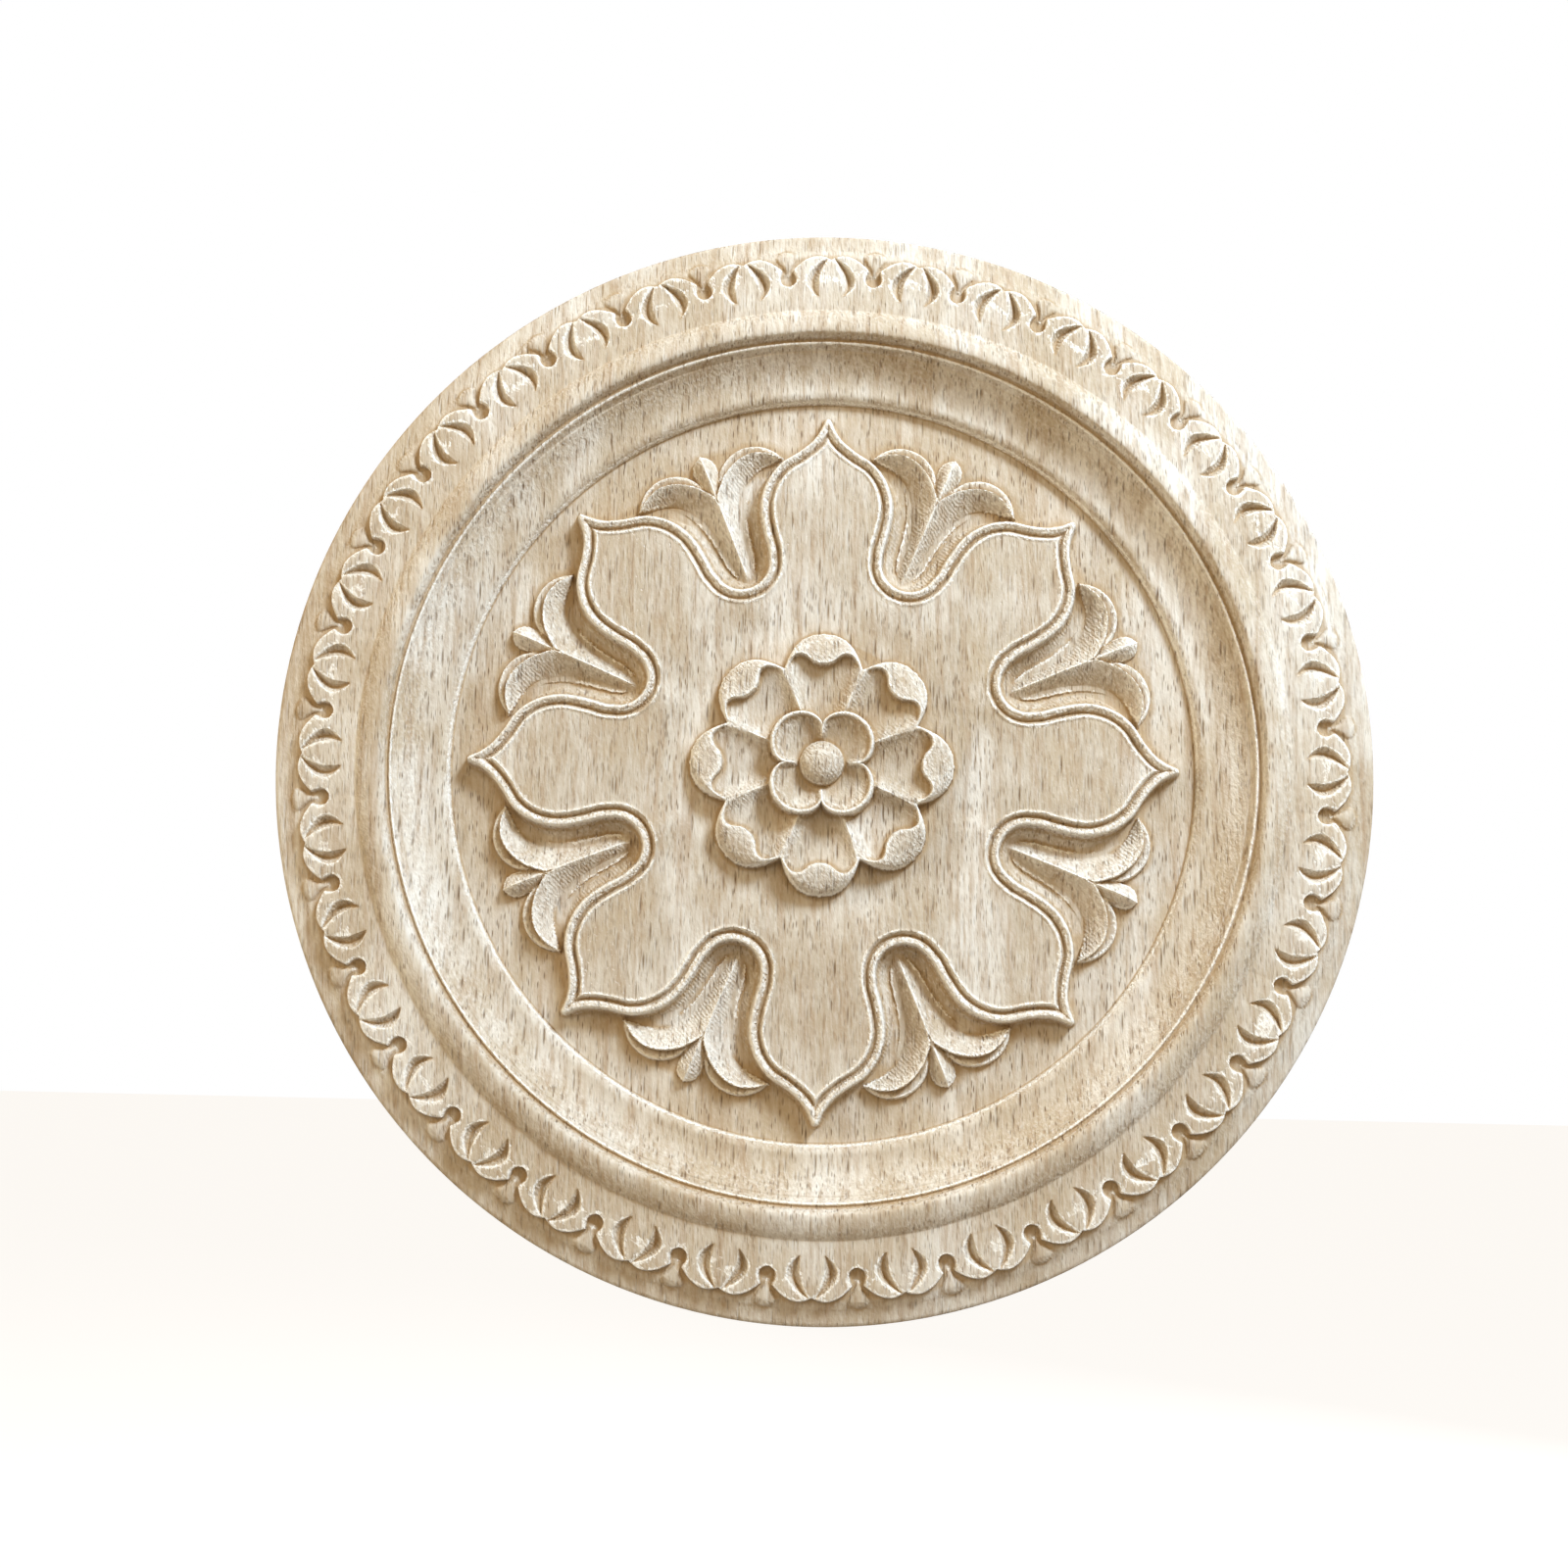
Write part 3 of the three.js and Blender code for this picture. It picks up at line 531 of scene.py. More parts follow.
# the cups: radius at a notch and what they gain, rim, and how their hollow starts and climbs
CUP_NOTCH, CUP_SWING = 6.9, 3.95
CUP_RIM, CUP_RIM_FALL = 4.2, 0.6
CUP_BOTTOM, CUP_CLIMB = 1.35, 2.3
CUP_RIDGE, CUP_RIDGE_HALF, CUP_RIDGE_START = 0.85, 0.9, (3.8, 6.2)
CUP_EDGE, CUP_WALL_END = 0.45, 0.95
RIM_ROUND, RIM_ROUND_WIDTH, RIM_DROP, RIM_DROP_WIDTH = 0.3, 0.3, 3.2, 0.4
BUTTON_RADIUS, BUTTON_FOOT, BUTTON_RISE = 4.0, 1.8, 3.2


def rosette_height(x, y):
    radius, fold = fold_to_lobe(x, y)
    degrees = np.degrees(fold)
    outline, lip = through(degrees, PETAL_EDGE), through(degrees, LIP_EDGE)
    fall = np.clip((degrees - LIP_FALL_START) / (HALF_PETAL - LIP_FALL_START), 0, 1)
    lip_top = PLATE + LIP_RISE - LIP_FALL * fall**1.5
    share = np.clip((outline - radius) / np.maximum(outline - lip, 0.2), 0, 1)
    swell = np.sqrt(1 - (1 - share) ** 2.1)
    roll = PLATE + PETAL_FOOT + (lip_top - PLATE - PETAL_FOOT) * swell
    between = np.exp(-(((HALF_TURN - fold) * radius / BETWEEN_HALF) ** 2))
    climb = BOWL_CLIMB * np.clip((radius - BOWL_INNER) / BOWL_LENGTH, 0, 1) ** 1.6
    bowl = PLATE + climb + BOWL_SIDE * (degrees / HALF_PETAL) ** 2.2 + BETWEEN_RISE * between
    bowl = np.minimum(bowl, lip_top)
    wall = ease(radius - lip, *LIP_WALL)
    petals = np.where(radius > lip, roll, bowl * (1 - wall) + lip_top * wall)
    petals = np.where(radius < outline, petals, NOWHERE)
    # the inner flower
    quarter = np.pi / 2
    turn = np.arctan2(x, y)
    from_notch = np.abs((turn + quarter / 2) % quarter - quarter / 2)
    swing = np.abs(np.sin(2 * from_notch)) ** 0.62
    cup_edge = CUP_NOTCH + CUP_SWING * swing
    rim = PLATE + CUP_RIM - CUP_RIM_FALL * (1 - swing)
    inward = cup_edge - radius
    climb = np.clip((radius - BUTTON_RADIUS) / (cup_edge - BUTTON_RADIUS), 0, 1) ** 1.5
    cup = PLATE + CUP_BOTTOM + CUP_CLIMB * climb
    ridge = np.clip(1 - from_notch * radius / CUP_RIDGE_HALF, 0, 1)
    ridge = ridge * ease(radius, *CUP_RIDGE_START)
    cup = cup + (rim - cup) * CUP_RIDGE * ridge
    worn = np.clip((RIM_ROUND_WIDTH - inward) / RIM_ROUND_WIDTH, 0, 1)
    over_rim = rim - RIM_ROUND * worn**2
    over_rim = over_rim - RIM_DROP * np.clip(-inward / RIM_DROP_WIDTH, 0, 1)
    into_cup = ease(inward, CUP_EDGE, CUP_WALL_END)
    flower = np.where(inward > CUP_EDGE, rim * (1 - into_cup) + cup * into_cup, over_rim)
    flower = np.where(inward > -RIM_DROP_WIDTH, flower, NOWHERE)
    height = np.where(inward > 0, flower, np.maximum(petals, flower))
    # the button in its moat
    crown = np.sqrt(np.clip(1 - (radius / BUTTON_RADIUS) ** 2, 0, 1))
    dome = PLATE + BUTTON_FOOT + BUTTON_RISE * crown
    return np.where(radius < BUTTON_RADIUS, dome, height)


print("rosette: 8 petals around 4 cups")

# %% [markdown]
# Now the rules are put together. Adding the heights up would lift each form by what lies
# under it. Taking the highest leaves every form at its own height: where the plate's outer
# slope runs out, the ground takes over, and lilies and rosette rise from what is there.


# %% The whole face as one height
BORDER_INNER, BORDER_OUTER, ROLL_END = 84.6, 98.5, 85.0
MIDDLE_RADIUS, ROSETTE_REACH = 68, 25
SLOPE_REACH, SLOPE_END_RADIUS = 3.3, 58


def face_height(x, y):
    radius = np.hypot(x, y)
    height = turned_height(radius)
    ring = (radius > BORDER_INNER) & (radius < BORDER_OUTER)
    leaves = border_height(radius[ring], np.arctan2(x[ring], y[ring]))
    roll = np.where(radius[ring] < ROLL_END, height[ring], NOWHERE)
    height[ring] = np.maximum(roll, leaves)
    middle = radius < MIDDLE_RADIUS
    near = x[middle], y[middle]
    plate, inward = plate_height(*near)
    ground = height[middle]
    in_gap = (inward > -SLOPE_REACH) & (radius[middle] < SLOPE_END_RADIUS)
    ground = np.where((inward > -BEAD_HALF) | in_gap | (plate > ground), plate, ground)
    height[middle] = np.maximum(ground, lily_height(*near))
    central = radius < ROSETTE_REACH
    height[central] = np.maximum(height[central], rosette_height(x[central], y[central]))
    return height


print("height at the centre:", face_height(np.zeros(1), np.zeros(1)).round(2)[0], "mm")

# %% [markdown]
# The sheet is made from square grids, rolled around the centre like a paper collar. Each
# collar gets its own number of squares, few where only turned rings pass and many in the
# fine border, and neighbouring collars are bridged. A plain disc has squares of one size
# everywhere and its rows would cross the round mouldings and make them ragged.


# %% Collars of squares
MERGE_DISTANCE = 2e-6


def only(obj):
    """Deselects everything and makes obj the one selected, active object."""
    bpy.ops.object.select_all(action="DESELECT")
    obj.select_set(True)
    bpy.context.view_layer.objects.active = obj


def positions(mesh):
    flat = np.empty(len(mesh.vertices) * 3)
    mesh.vertices.foreach_get("co", flat)
    return flat.reshape(-1, 3)


def collar(radii, squares):
    """A grid rolled around the Y axis, with one ring of points for each radius."""
    bpy.ops.object.select_all(action="DESELECT")
    rows = len(radii) - 1
    bpy.ops.mesh.primitive_grid_add(x_subdivisions=squares, y_subdivisions=rows, size=2)
    grid = bpy.context.object
    points = positions(grid.data)
    column = np.rint((points[:, 0] + 1) / 2 * squares)
    row = np.rint((points[:, 1] + 1) / 2 * rows).astype(int)
    turn = 2 * np.pi * column / squares
    radius = np.asarray(radii)[row] * MM
    rolled = np.column_stack([radius * np.sin(turn), np.zeros(len(row)), radius * np.cos(turn)])
    grid.data.vertices.foreach_set("co", rolled.ravel())
    only(grid)
    bpy.ops.object.mode_set(mode="EDIT")
    bpy.ops.mesh.select_all(action="SELECT")
    bpy.ops.mesh.remove_doubles(threshold=MERGE_DISTANCE)
    bpy.ops.object.mode_set(mode="OBJECT")
    return grid


def even_rings(start, end, step):
    return list(np.linspace(start, end, max(1, round((end - start) / step)) + 1))


MOULDING_RINGS = (
    even_rings(68.2, 71.4, 0.16)
    + even_rings(71.8, 76.8, 0.45)
    + even_rings(77.0, 79.4, 0.12)
    + even_rings(79.65, 84.9, 0.3)
)
OUTER_RINGS = [97.2, 98.2, 99.2, 99.45, 99.65, 99.8, 99.9, 99.97]
COLLARS = [
    (even_rings(0, 25.0, 0.22), 720),
    (even_rings(25.25, 68.0, 0.25), 1440),
    (MOULDING_RINGS, 1152),
    (even_rings(85.1, 96.9, 0.22), 2592),
    (OUTER_RINGS, 1152),
]
collars = [collar(radii, squares) for radii, squares in COLLARS]
print("squares:", [len(piece.data.polygons) for piece in collars])

# %% Join the collars and bridge the narrow slits between them
bpy.ops.object.select_all(action="DESELECT")
for piece in collars:
    piece.select_set(True)
bpy.context.view_layer.objects.active = collars[0]
bpy.ops.object.join()
carving = bpy.context.object
carving.name = "carved_face"
carving.data.name = "carved_face"
SAME_RADIUS = 1e-3


def select_rings(obj, radii):
    """Selects the edges that run around the axis at those radii."""
    only(obj)
    bpy.ops.object.mode_set(mode="EDIT")
    bpy.ops.mesh.select_mode(type="EDGE")
    bpy.ops.mesh.select_all(action="DESELECT")
    bpy.ops.object.mode_set(mode="OBJECT")
    mesh = obj.data
    points = positions(mesh)
    radius = np.hypot(points[:, 0], points[:, 2]) / MM
    ends = np.empty(len(mesh.edges) * 2, int)
    mesh.edges.foreach_get("vertices", ends)
    start, end = radius[ends.reshape(-1, 2)].T
    chosen = np.zeros(len(mesh.edges), bool)
    for ring in radii:
        chosen |= (np.abs(start - ring) < SAME_RADIUS) & (np.abs(end - ring) < SAME_RADIUS)
    mesh.edges.foreach_set("select", chosen)
    bpy.ops.object.mode_set(mode="EDIT")
    return int(chosen.sum())


for (inner, _), (outer, _) in zip(COLLARS, COLLARS[1:]):
    picked = select_rings(carving, [inner[-1], outer[0]])
    bpy.ops.mesh.bridge_edge_loops()
    bpy.ops.object.mode_set(mode="OBJECT")
    print("bridged", round(inner[-1], 2), "to", round(outer[0], 2), "with", picked, "edges")

# %% Raise every point to its height, then add the side wall and the back
points = positions(carving.data)
heights = face_height(points[:, 0] / MM, points[:, 2] / MM)
points[:, 1] = -heights * MM
carving.data.vertices.foreach_set("co", points.ravel())

BACK_CHAMFER = 0.35
rim_radius = OUTER_RINGS[-1]
rim_height = float(face_height(np.array([rim_radius]), np.zeros(1))[0])
select_rings(carving, [rim_radius])
bpy.ops.mesh.extrude_edges_move(
    TRANSFORM_OT_translate={"value": (0, (rim_height - BACK_CHAMFER) * MM, 0)}
)
shrink = (rim_radius - BACK_CHAMFER) / rim_radius
bpy.ops.mesh.extrude_edges_move(TRANSFORM_OT_translate={"value": (0, BACK_CHAMFER * MM, 0)})
bpy.ops.transform.resize(value=(shrink, 1, shrink), center_override=(0, 0, 0))
bpy.ops.mesh.edge_face_add()
bpy.ops.mesh.select_all(action="SELECT")
bpy.ops.mesh.normals_make_consistent(inside=False)
bpy.ops.object.mode_set(mode="OBJECT")
print("points:", len(carving.data.vertices), "faces:", len(carving.data.polygons))

# %% [markdown]
# The even sheet spends as many faces on a flat panel as on a bead. Decimate melts them where
# the wood is flat and keeps them along every edge, so the carving stays crisp with far fewer.

# %% Thin the flat areas
FACE_LIMIT = 190_000
CRISP_ANGLE = math.radians(38)
triangles = sum(len(p.vertices) - 2 for p in carving.data.polygons)
only(carving)
thin = carving.modifiers.new("thin", "DECIMATE")
thin.ratio = FACE_LIMIT / triangles
thin.use_collapse_triangulate = True
bpy.ops.object.modifier_apply(modifier=thin.name)
bpy.ops.object.shade_smooth_by_angle(angle=CRISP_ANGLE)
even = carving.modifiers.new("even_shading", "WEIGHTED_NORMAL")
even.keep_sharp = True
bpy.ops.object.modifier_apply(modifier=even.name)
print("triangles:", triangles, "thinned to", len(carving.data.polygons))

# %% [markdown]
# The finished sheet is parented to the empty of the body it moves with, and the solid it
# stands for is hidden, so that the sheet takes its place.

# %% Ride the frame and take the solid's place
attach(carving, "root")
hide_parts("carved_rosette")
print(carving.name, "takes the place of carved_rosette")

# %% [markdown]
# The colour isn't even over the carving. Hollows are painted darker, as painted shade, and
# proud forms are paler and rougher: raised fibres, with a painted highlight. Both can be
# painted by hand, or measured: a place lower than the mean of its surroundings is hollow, a
# higher one is proud. Measuring follows every form, so it is done here, and the measures are
# kept as attributes, which the material reads. The cutter ran in slanting rows, so its steps
# show most where the carving rises across the rows, and that slant is kept too. The turned
# rings were smoothed, so they have none. The full slope says where the wood stayed rough.

# %% Measure hollow and proud places
SURROUNDINGS = 2.4
HOLLOW_FULL, PROUD_FULL, PROUD_START = 1.8, 0.9, 0.15
# share of the painted hollow shade that the rings and the border get
OUTSIDE_GROUND = 0.35
# forward of this depth a point belongs to the face
FACE_DEPTH = -5
points = positions(carving.data) / MM
across, up = points[:, 0], points[:, 2]
at_point = face_height(across, up)


def mean_around(x, y, reach, directions=6):
    total = np.zeros(len(x))
    for turn in np.linspace(0, 2 * np.pi, directions, endpoint=False):
        total += face_height(x + reach * math.sin(turn), y + reach * math.cos(turn))
    return total / directions


def keep_attribute(name, values):
    attribute = carving.data.attributes.new(name, "FLOAT", "POINT")
    attribute.data.foreach_set("value", values.astype(np.float32))
    print(name, "from", round(float(values.min()), 2), "to", round(float(values.max()), 2))


radius_here = np.hypot(across, up)
on_face = (points[:, 1] < FACE_DEPTH) & (radius_here < BORDER_OUTER)
in_middle = radius_here < MIDDLE_RADIUS
lower = np.where(on_face, mean_around(across, up, SURROUNDINGS) - at_point, 0)
share = np.where(in_middle, 1, OUTSIDE_GROUND)
# the hollow measure sets how much shade the material paints in
keep_attribute("hollow", share * np.clip(lower / HOLLOW_FULL, 0, 1))
raised = np.clip(-lower / PROUD_FULL - PROUD_START, 0, 1)
keep_attribute("proud", np.where(in_middle, raised, 0))

# %% Measure how the face climbs
SIDE_STEP = 0.4
STEEPEST = 1.5
ROW_TURN = math.radians(45)
RINGS_OUTER = 85.5


def climb_towards(turn):
    """How steeply the face climbs in that direction, where it climbs on both sides."""
    side, rise = SIDE_STEP * math.sin(turn), SIDE_STEP * math.cos(turn)
    ahead = face_height(across + side, up + rise) - at_point
    behind = at_point - face_height(across - side, up - rise)
    steady = np.minimum(np.abs(ahead), np.abs(behind)) / SIDE_STEP
    return np.where(on_face & (ahead * behind > 0), steady, 0)


over_rows = climb_towards(-ROW_TURN)
along_rows = climb_towards(ROW_TURN)
turned_rings = (radius_here > MIDDLE_RADIUS) & (radius_here < RINGS_OUTER)
keep_attribute("slant", np.where(turned_rings, 0, np.clip(over_rows, 0, STEEPEST)))
keep_attribute("slope", np.clip(np.hypot(over_rows, along_rows), 0, STEEPEST))

# %% [markdown]
# Along every crisp edge the fibres stand up and look white, and a highlight is painted there
# too; along every crease a line of shade is painted. A mask painted on the points would blur
# over the large faces beside an edge. A distance doesn't: it runs evenly from point to point,
# so the material can cut a line of any width from it. The middle repeats every quarter turn
# and the border 36 times around, and each repeat is its own mirror image, so the edges are
# searched in half a repeat of each.

# %% Measure the distance to the nearest crisp edge
SEARCH_STEP, EDGE_REACH, EDGE_SHARPNESS, FAR = 0.15, 0.28, 0.115, 3.0
# searched beyond both sides of a sector, so that edges just across its borders count
SECTOR_SPARE = 0.8
# from and to which radius, and the turn after which the carving repeats
SEARCHES = [
    (1.0, MIDDLE_RADIUS, math.pi / 2),
    (MIDDLE_RADIUS, 98.4, 2 * math.pi / LEAF_COUNT),
]


def folded(x, y, turn_step):
    """The same place mirrored into the first half of a sector."""
    turn, radius = np.arctan2(x, y), np.hypot(x, y)
    turn = np.abs((turn + turn_step / 2) % turn_step - turn_step / 2)
    return radius * np.sin(turn), radius * np.cos(turn)


def distances(found, mine, turn_step):
    """How far each of those points of the mesh is from the nearest of the found places."""
    tree = KDTree(len(found))
    for index, place in enumerate(found):
        tree.insert(place, index)
    tree.balance()
    places = zip(*folded(across[mine], up[mine], turn_step), at_point[mine])
    return [min(tree.find(place)[2], FAR) for place in places]


edge_distance = np.full(len(across), FAR)
crease_distance = np.full(len(across), FAR)
for start, end, turn_step in SEARCHES:
    sector = []
    for ring in np.arange(start, end, SEARCH_STEP):
        spare = SECTOR_SPARE / ring
        count = int(ring * (turn_step / 2 + 2 * spare) / SEARCH_STEP) + 2
        turn = np.linspace(-spare, turn_step / 2 + spare, count)
        sector.append(np.column_stack([ring * np.sin(turn), ring * np.cos(turn)]))
    x, y = np.vstack(sector).T
    height = face_height(x, y)
    sharpness = height - mean_around(x, y, EDGE_REACH)
    searched = np.column_stack([x, y, height])
    mine = np.flatnonzero(on_face & (radius_here >= start) & (radius_here < end))
    crisp, crease = sharpness > EDGE_SHARPNESS, sharpness < -EDGE_SHARPNESS
    edge_distance[mine] = distances(searched[crisp], mine, turn_step)
    crease_distance[mine] = distances(searched[crease], mine, turn_step)
    print("edge and crease points:", int(crisp.sum()), int(crease.sum()), "of", len(x))
keep_attribute("crease_distance", crease_distance)
keep_attribute("edge_distance", edge_distance)

# %% [markdown]
# The wood is a pale tropical hardwood such as rubberwood. Its grain runs upright: long soft
# streaks of cream, pinkish tan and grey, and short dark pores along them. A photograph of
# wood would slide off the relief, and a solid pattern cuts through the form as real wood
# does, so streaks and pores are noise in Object coordinates, stretched along Z.


# %% Node helpers
def add_node(tree, kind, **settings):
    node = tree.nodes.new(kind)
    for name, value in settings.items():
        if name in node.inputs:
            node.inputs[name].default_value = value
        else:
            setattr(node, name, value)
    return node


def new_group(name, inputs, outputs):
    group = bpy.data.node_groups.new(name, "ShaderNodeTree")
    for label, kind, value in inputs:
        socket = group.interface.new_socket(label, in_out="INPUT", socket_type=kind)
        if value is not None:
            socket.default_value = value
    for label, kind in outputs:
        group.interface.new_socket(label, in_out="OUTPUT", socket_type=kind)
    return group, group.nodes.new("NodeGroupInput"), group.nodes.new("NodeGroupOutput")


def maths(tree, operation, first, second, clamp=False):
    node = tree.nodes.new("ShaderNodeMath")
    node.operation = operation
    node.use_clamp = clamp
    for socket, value in zip(node.inputs, (first, second)):
        if isinstance(value, (int, float)):
            socket.default_value = value
        else:
            tree.links.new(value, socket)
    return node.outputs[0]


def remap(tree, value, start, end, low_value=0.0, high_value=1.0):
    node = tree.nodes.new("ShaderNodeMapRange")
    node.inputs["From Min"].default_value = start
    node.inputs["From Max"].default_value = end
    node.inputs["To Min"].default_value = low_value
    node.inputs["To Max"].default_value = high_value
    tree.links.new(value, node.inputs["Value"])
    return node.outputs["Result"]


def mixed(tree, share, first, second):
    node = tree.nodes.new("ShaderNodeMix")
    node.data_type = "RGBA"
    for number, value in ((MIX_SHARE, share), (MIX_FIRST, first), (MIX_SECOND, second)):
        if isinstance(value, bpy.types.NodeSocket):
            tree.links.new(value, node.inputs[number])
        else:
            node.inputs[number].default_value = value
    return node.outputs[MIX_RESULT]


print("node helpers ready")

# %% Streaks along the grain
BROAD_STRETCH, FINE_STRETCH, GRAIN_DETAIL = (75, 30, 6.0), (800, 300, 38), 4.0
BENDS_PER_METRE = 14.0
NOISE_ROUGHNESS, NOISE_MIDDLE = 0.6, 0.5
streaks, source, result = new_group(
    "grain_streaks",
    [("Vector", "NodeSocketVector", None), ("Waviness", "NodeSocketFloat", 0.004)],
    [("Broad", "NodeSocketFloat"), ("Fine", "NodeSocketFloat")],
)
bend = add_node(streaks, "ShaderNodeTexNoise", Scale=BENDS_PER_METRE, Detail=1.0)
streaks.links.new(source.outputs["Vector"], bend.inputs["Vector"])
shift = add_node(streaks, "ShaderNodeVectorMath", operation="SCALE")
streaks.links.new(bend.outputs["Color"], shift.inputs[0])
streaks.links.new(source.outputs["Waviness"], shift.inputs["Scale"])
moved = add_node(streaks, "ShaderNodeVectorMath", operation="ADD")
streaks.links.new(source.outputs["Vector"], moved.inputs[0])
streaks.links.new(shift.outputs["Vector"], moved.inputs[1])
for label, stretch in (("Broad", BROAD_STRETCH), ("Fine", FINE_STRETCH)):
    place = add_node(streaks, "ShaderNodeMapping", Scale=stretch)
    streaks.links.new(moved.outputs["Vector"], place.inputs["Vector"])
    streak = add_node(streaks, "ShaderNodeTexNoise", Scale=1.0, Detail=GRAIN_DETAIL)
    streak.inputs["Roughness"].default_value = NOISE_ROUGHNESS
    streaks.links.new(place.outputs["Vector"], streak.inputs["Vector"])
    streaks.links.new(streak.outputs["Fac"], result.inputs[label])
print("grain group ready")

# %% Pores
PORE_EDGE, PORE_CORE = 0.42, 0.14
PALEST_PORE = 0.25
pores, source, result = new_group(
    "upright_pores",
    [
        ("Vector", "NodeSocketVector", None),
        ("Size", "NodeSocketVector", (1, 1, 1)),
        ("Amount", "NodeSocketFloat", 0.3),
    ],
    [("Mask", "NodeSocketFloat")],
)
place = add_node(pores, "ShaderNodeVectorMath", operation="MULTIPLY")
pores.links.new(source.outputs["Vector"], place.inputs[0])
pores.links.new(source.outputs["Size"], place.inputs[1])
cells = add_node(pores, "ShaderNodeTexVoronoi", Scale=1.0, Randomness=1.0)
pores.links.new(place.outputs["Vector"], cells.inputs["Vector"])
inside_cell = remap(pores, cells.outputs["Distance"], PORE_EDGE, PORE_CORE)
channel = add_node(pores, "ShaderNodeSeparateColor")
pores.links.new(cells.outputs["Color"], channel.inputs["Color"])
present = maths(pores, "LESS_THAN", channel.outputs["Red"], source.outputs["Amount"])
depth = maths(pores, "MULTIPLY", inside_cell, present)
uneven = remap(pores, channel.outputs["Green"], 0.0, 1.0, PALEST_PORE, 1.0)
pores.links.new(maths(pores, "MULTIPLY", depth, uneven, clamp=True), result.inputs["Mask"])
print("pore group ready")

# %% [markdown]
# The ball-ended cutter went to and fro in slanting rows and left steps on every slope that
# climbs across the rows. Steps could be cut into the mesh, but every slope would then need
# several times its faces. A wave turned to the same slant gives them as bump, about 0.6
# millimetres apart, and the slant kept on the surface says how strong each one is.

# %% Cutter rows
ROW_SCALE, ROW_WOBBLE = 500.0, 3.5
FIRST_SLANT, FULL_SLANT = 0.2, 0.8
rows, source, result = new_group(
    "cutter_rows",
    [("Vector", "NodeSocketVector", None), ("Slope", "NodeSocketFloat", 0.0)],
    [("Height", "NodeSocketFloat")],
)
turned = add_node(rows, "ShaderNodeMapping", Rotation=(0, ROW_TURN, 0))
rows.links.new(source.outputs["Vector"], turned.inputs["Vector"])
wave = add_node(rows, "ShaderNodeTexWave", bands_direction="X", Scale=ROW_SCALE)
wave.inputs["Distortion"].default_value = ROW_WOBBLE
wave.inputs["Detail"].default_value = 2.0
wave.inputs["Detail Scale"].default_value = 1.5
rows.links.new(turned.outputs["Vector"], wave.inputs["Vector"])
strength_here = remap(rows, source.outputs["Slope"], FIRST_SLANT, FULL_SLANT)
step_height = maths(rows, "MULTIPLY", wave.outputs["Fac"], strength_here)
rows.links.new(step_height, result.inputs["Height"])
print("cutter group ready")

# %% [markdown]
# The material lays one tint over another, in this order: the board's own streaks and patches,
# painted shade in hollows and creases, torn fibres on rough slopes, pores, and last the white
# of fibres that stand up along the edges, with a painted highlight. One picture of wood could
# carry them all, but then no tint could follow the carving. Each tint here is a Mix node whose
# share comes from a pattern or from an attribute measured above.

# %% Colours and patterns of the wood
LIGHT_WOOD = (0.79, 0.71, 0.58, 1)
DEEP_WOOD = (0.54, 0.425, 0.28, 1)
COOL_WOOD = (0.78, 0.72, 0.61, 1)
# darker towards the middle of the face
DARK_MIDDLE_TINT = (0.50, 0.42, 0.31, 1)
STREAK_BROWN = (0.42, 0.28, 0.16, 1)
PORE_BROWN = (0.19, 0.11, 0.05, 1)
# the colour of the shade painted into hollows and creases
PAINTED_SHADE_BROWN = (0.44, 0.29, 0.14, 1)
# the white of raised fibres, also used for a painted highlight along edges and on proud forms
PALE_FIBRE_AND_HIGHLIGHT = (0.97, 0.90, 0.77, 1)
# features in a metre across, in depth and along the grain
FINE_PORES, FINE_PORE_AMOUNT = (2900, 1100, 480), 0.6
LONG_PORES, LONG_PORE_AMOUNT = (1700, 600, 190), 0.38
FIBRES, FIBRE_LEAN = (1500, 700, 230), -4.0
FLUFF, FLUFF_LEAN = (1900, 1900, 1100), -30.0
PATCHES = (62, 62, 45)
FINE_DETAIL, PATCH_DETAIL = 2.0, 3.0
WAVINESS = 0.006
SHEEN = 0.25

wood = bpy.data.materials.new("pale_wood")
wood.use_nodes = True
tree = wood.node_tree
shader = tree.nodes["Principled BSDF"]
shader.inputs["Specular IOR Level"].default_value = SHEEN
coordinates = add_node(tree, "ShaderNodeTexCoord").outputs["Object"]


def place_group(group, **values):
    node = tree.nodes.new("ShaderNodeGroup")
    node.node_tree = group
    tree.links.new(coordinates, node.inputs["Vector"])
    for name, value in values.items():
        if isinstance(value, bpy.types.NodeSocket):
            tree.links.new(value, node.inputs[name])
        else:
            node.inputs[name].default_value = value
    return node.outputs


def attribute(name):
    return add_node(tree, "ShaderNodeAttribute", attribute_name=name).outputs["Fac"]


def noise(scale, detail, lean=0.0):
    """Noise with so many features in a metre across, in depth and along the grain."""
    place = add_node(tree, "ShaderNodeMapping", vector_type="TEXTURE")
    place.inputs["Rotation"].default_value = (0, math.radians(lean), 0)
    place.inputs["Scale"].default_value = tuple(1 / value for value in scale)
    tree.links.new(coordinates, place.inputs["Vector"])
    pattern = add_node(tree, "ShaderNodeTexNoise", Scale=1.0, Detail=detail)
    pattern.inputs["Roughness"].default_value = NOISE_ROUGHNESS
    tree.links.new(place.outputs["Vector"], pattern.inputs["Vector"])
    return pattern.outputs["Fac"]


grain = place_group(streaks, Waviness=WAVINESS)
fine_pores = place_group(pores, Size=FINE_PORES, Amount=FINE_PORE_AMOUNT)["Mask"]
long_pores = place_group(pores, Size=LONG_PORES, Amount=LONG_PORE_AMOUNT)["Mask"]
steps = place_group(rows, Slope=attribute("slant"))["Height"]
fibre = noise(FIBRES, FINE_DETAIL, FIBRE_LEAN)
fluff = noise(FLUFF, FINE_DETAIL, FLUFF_LEAN)
patches = noise(PATCHES, PATCH_DETAIL)
print("patterns placed on", wood.name)
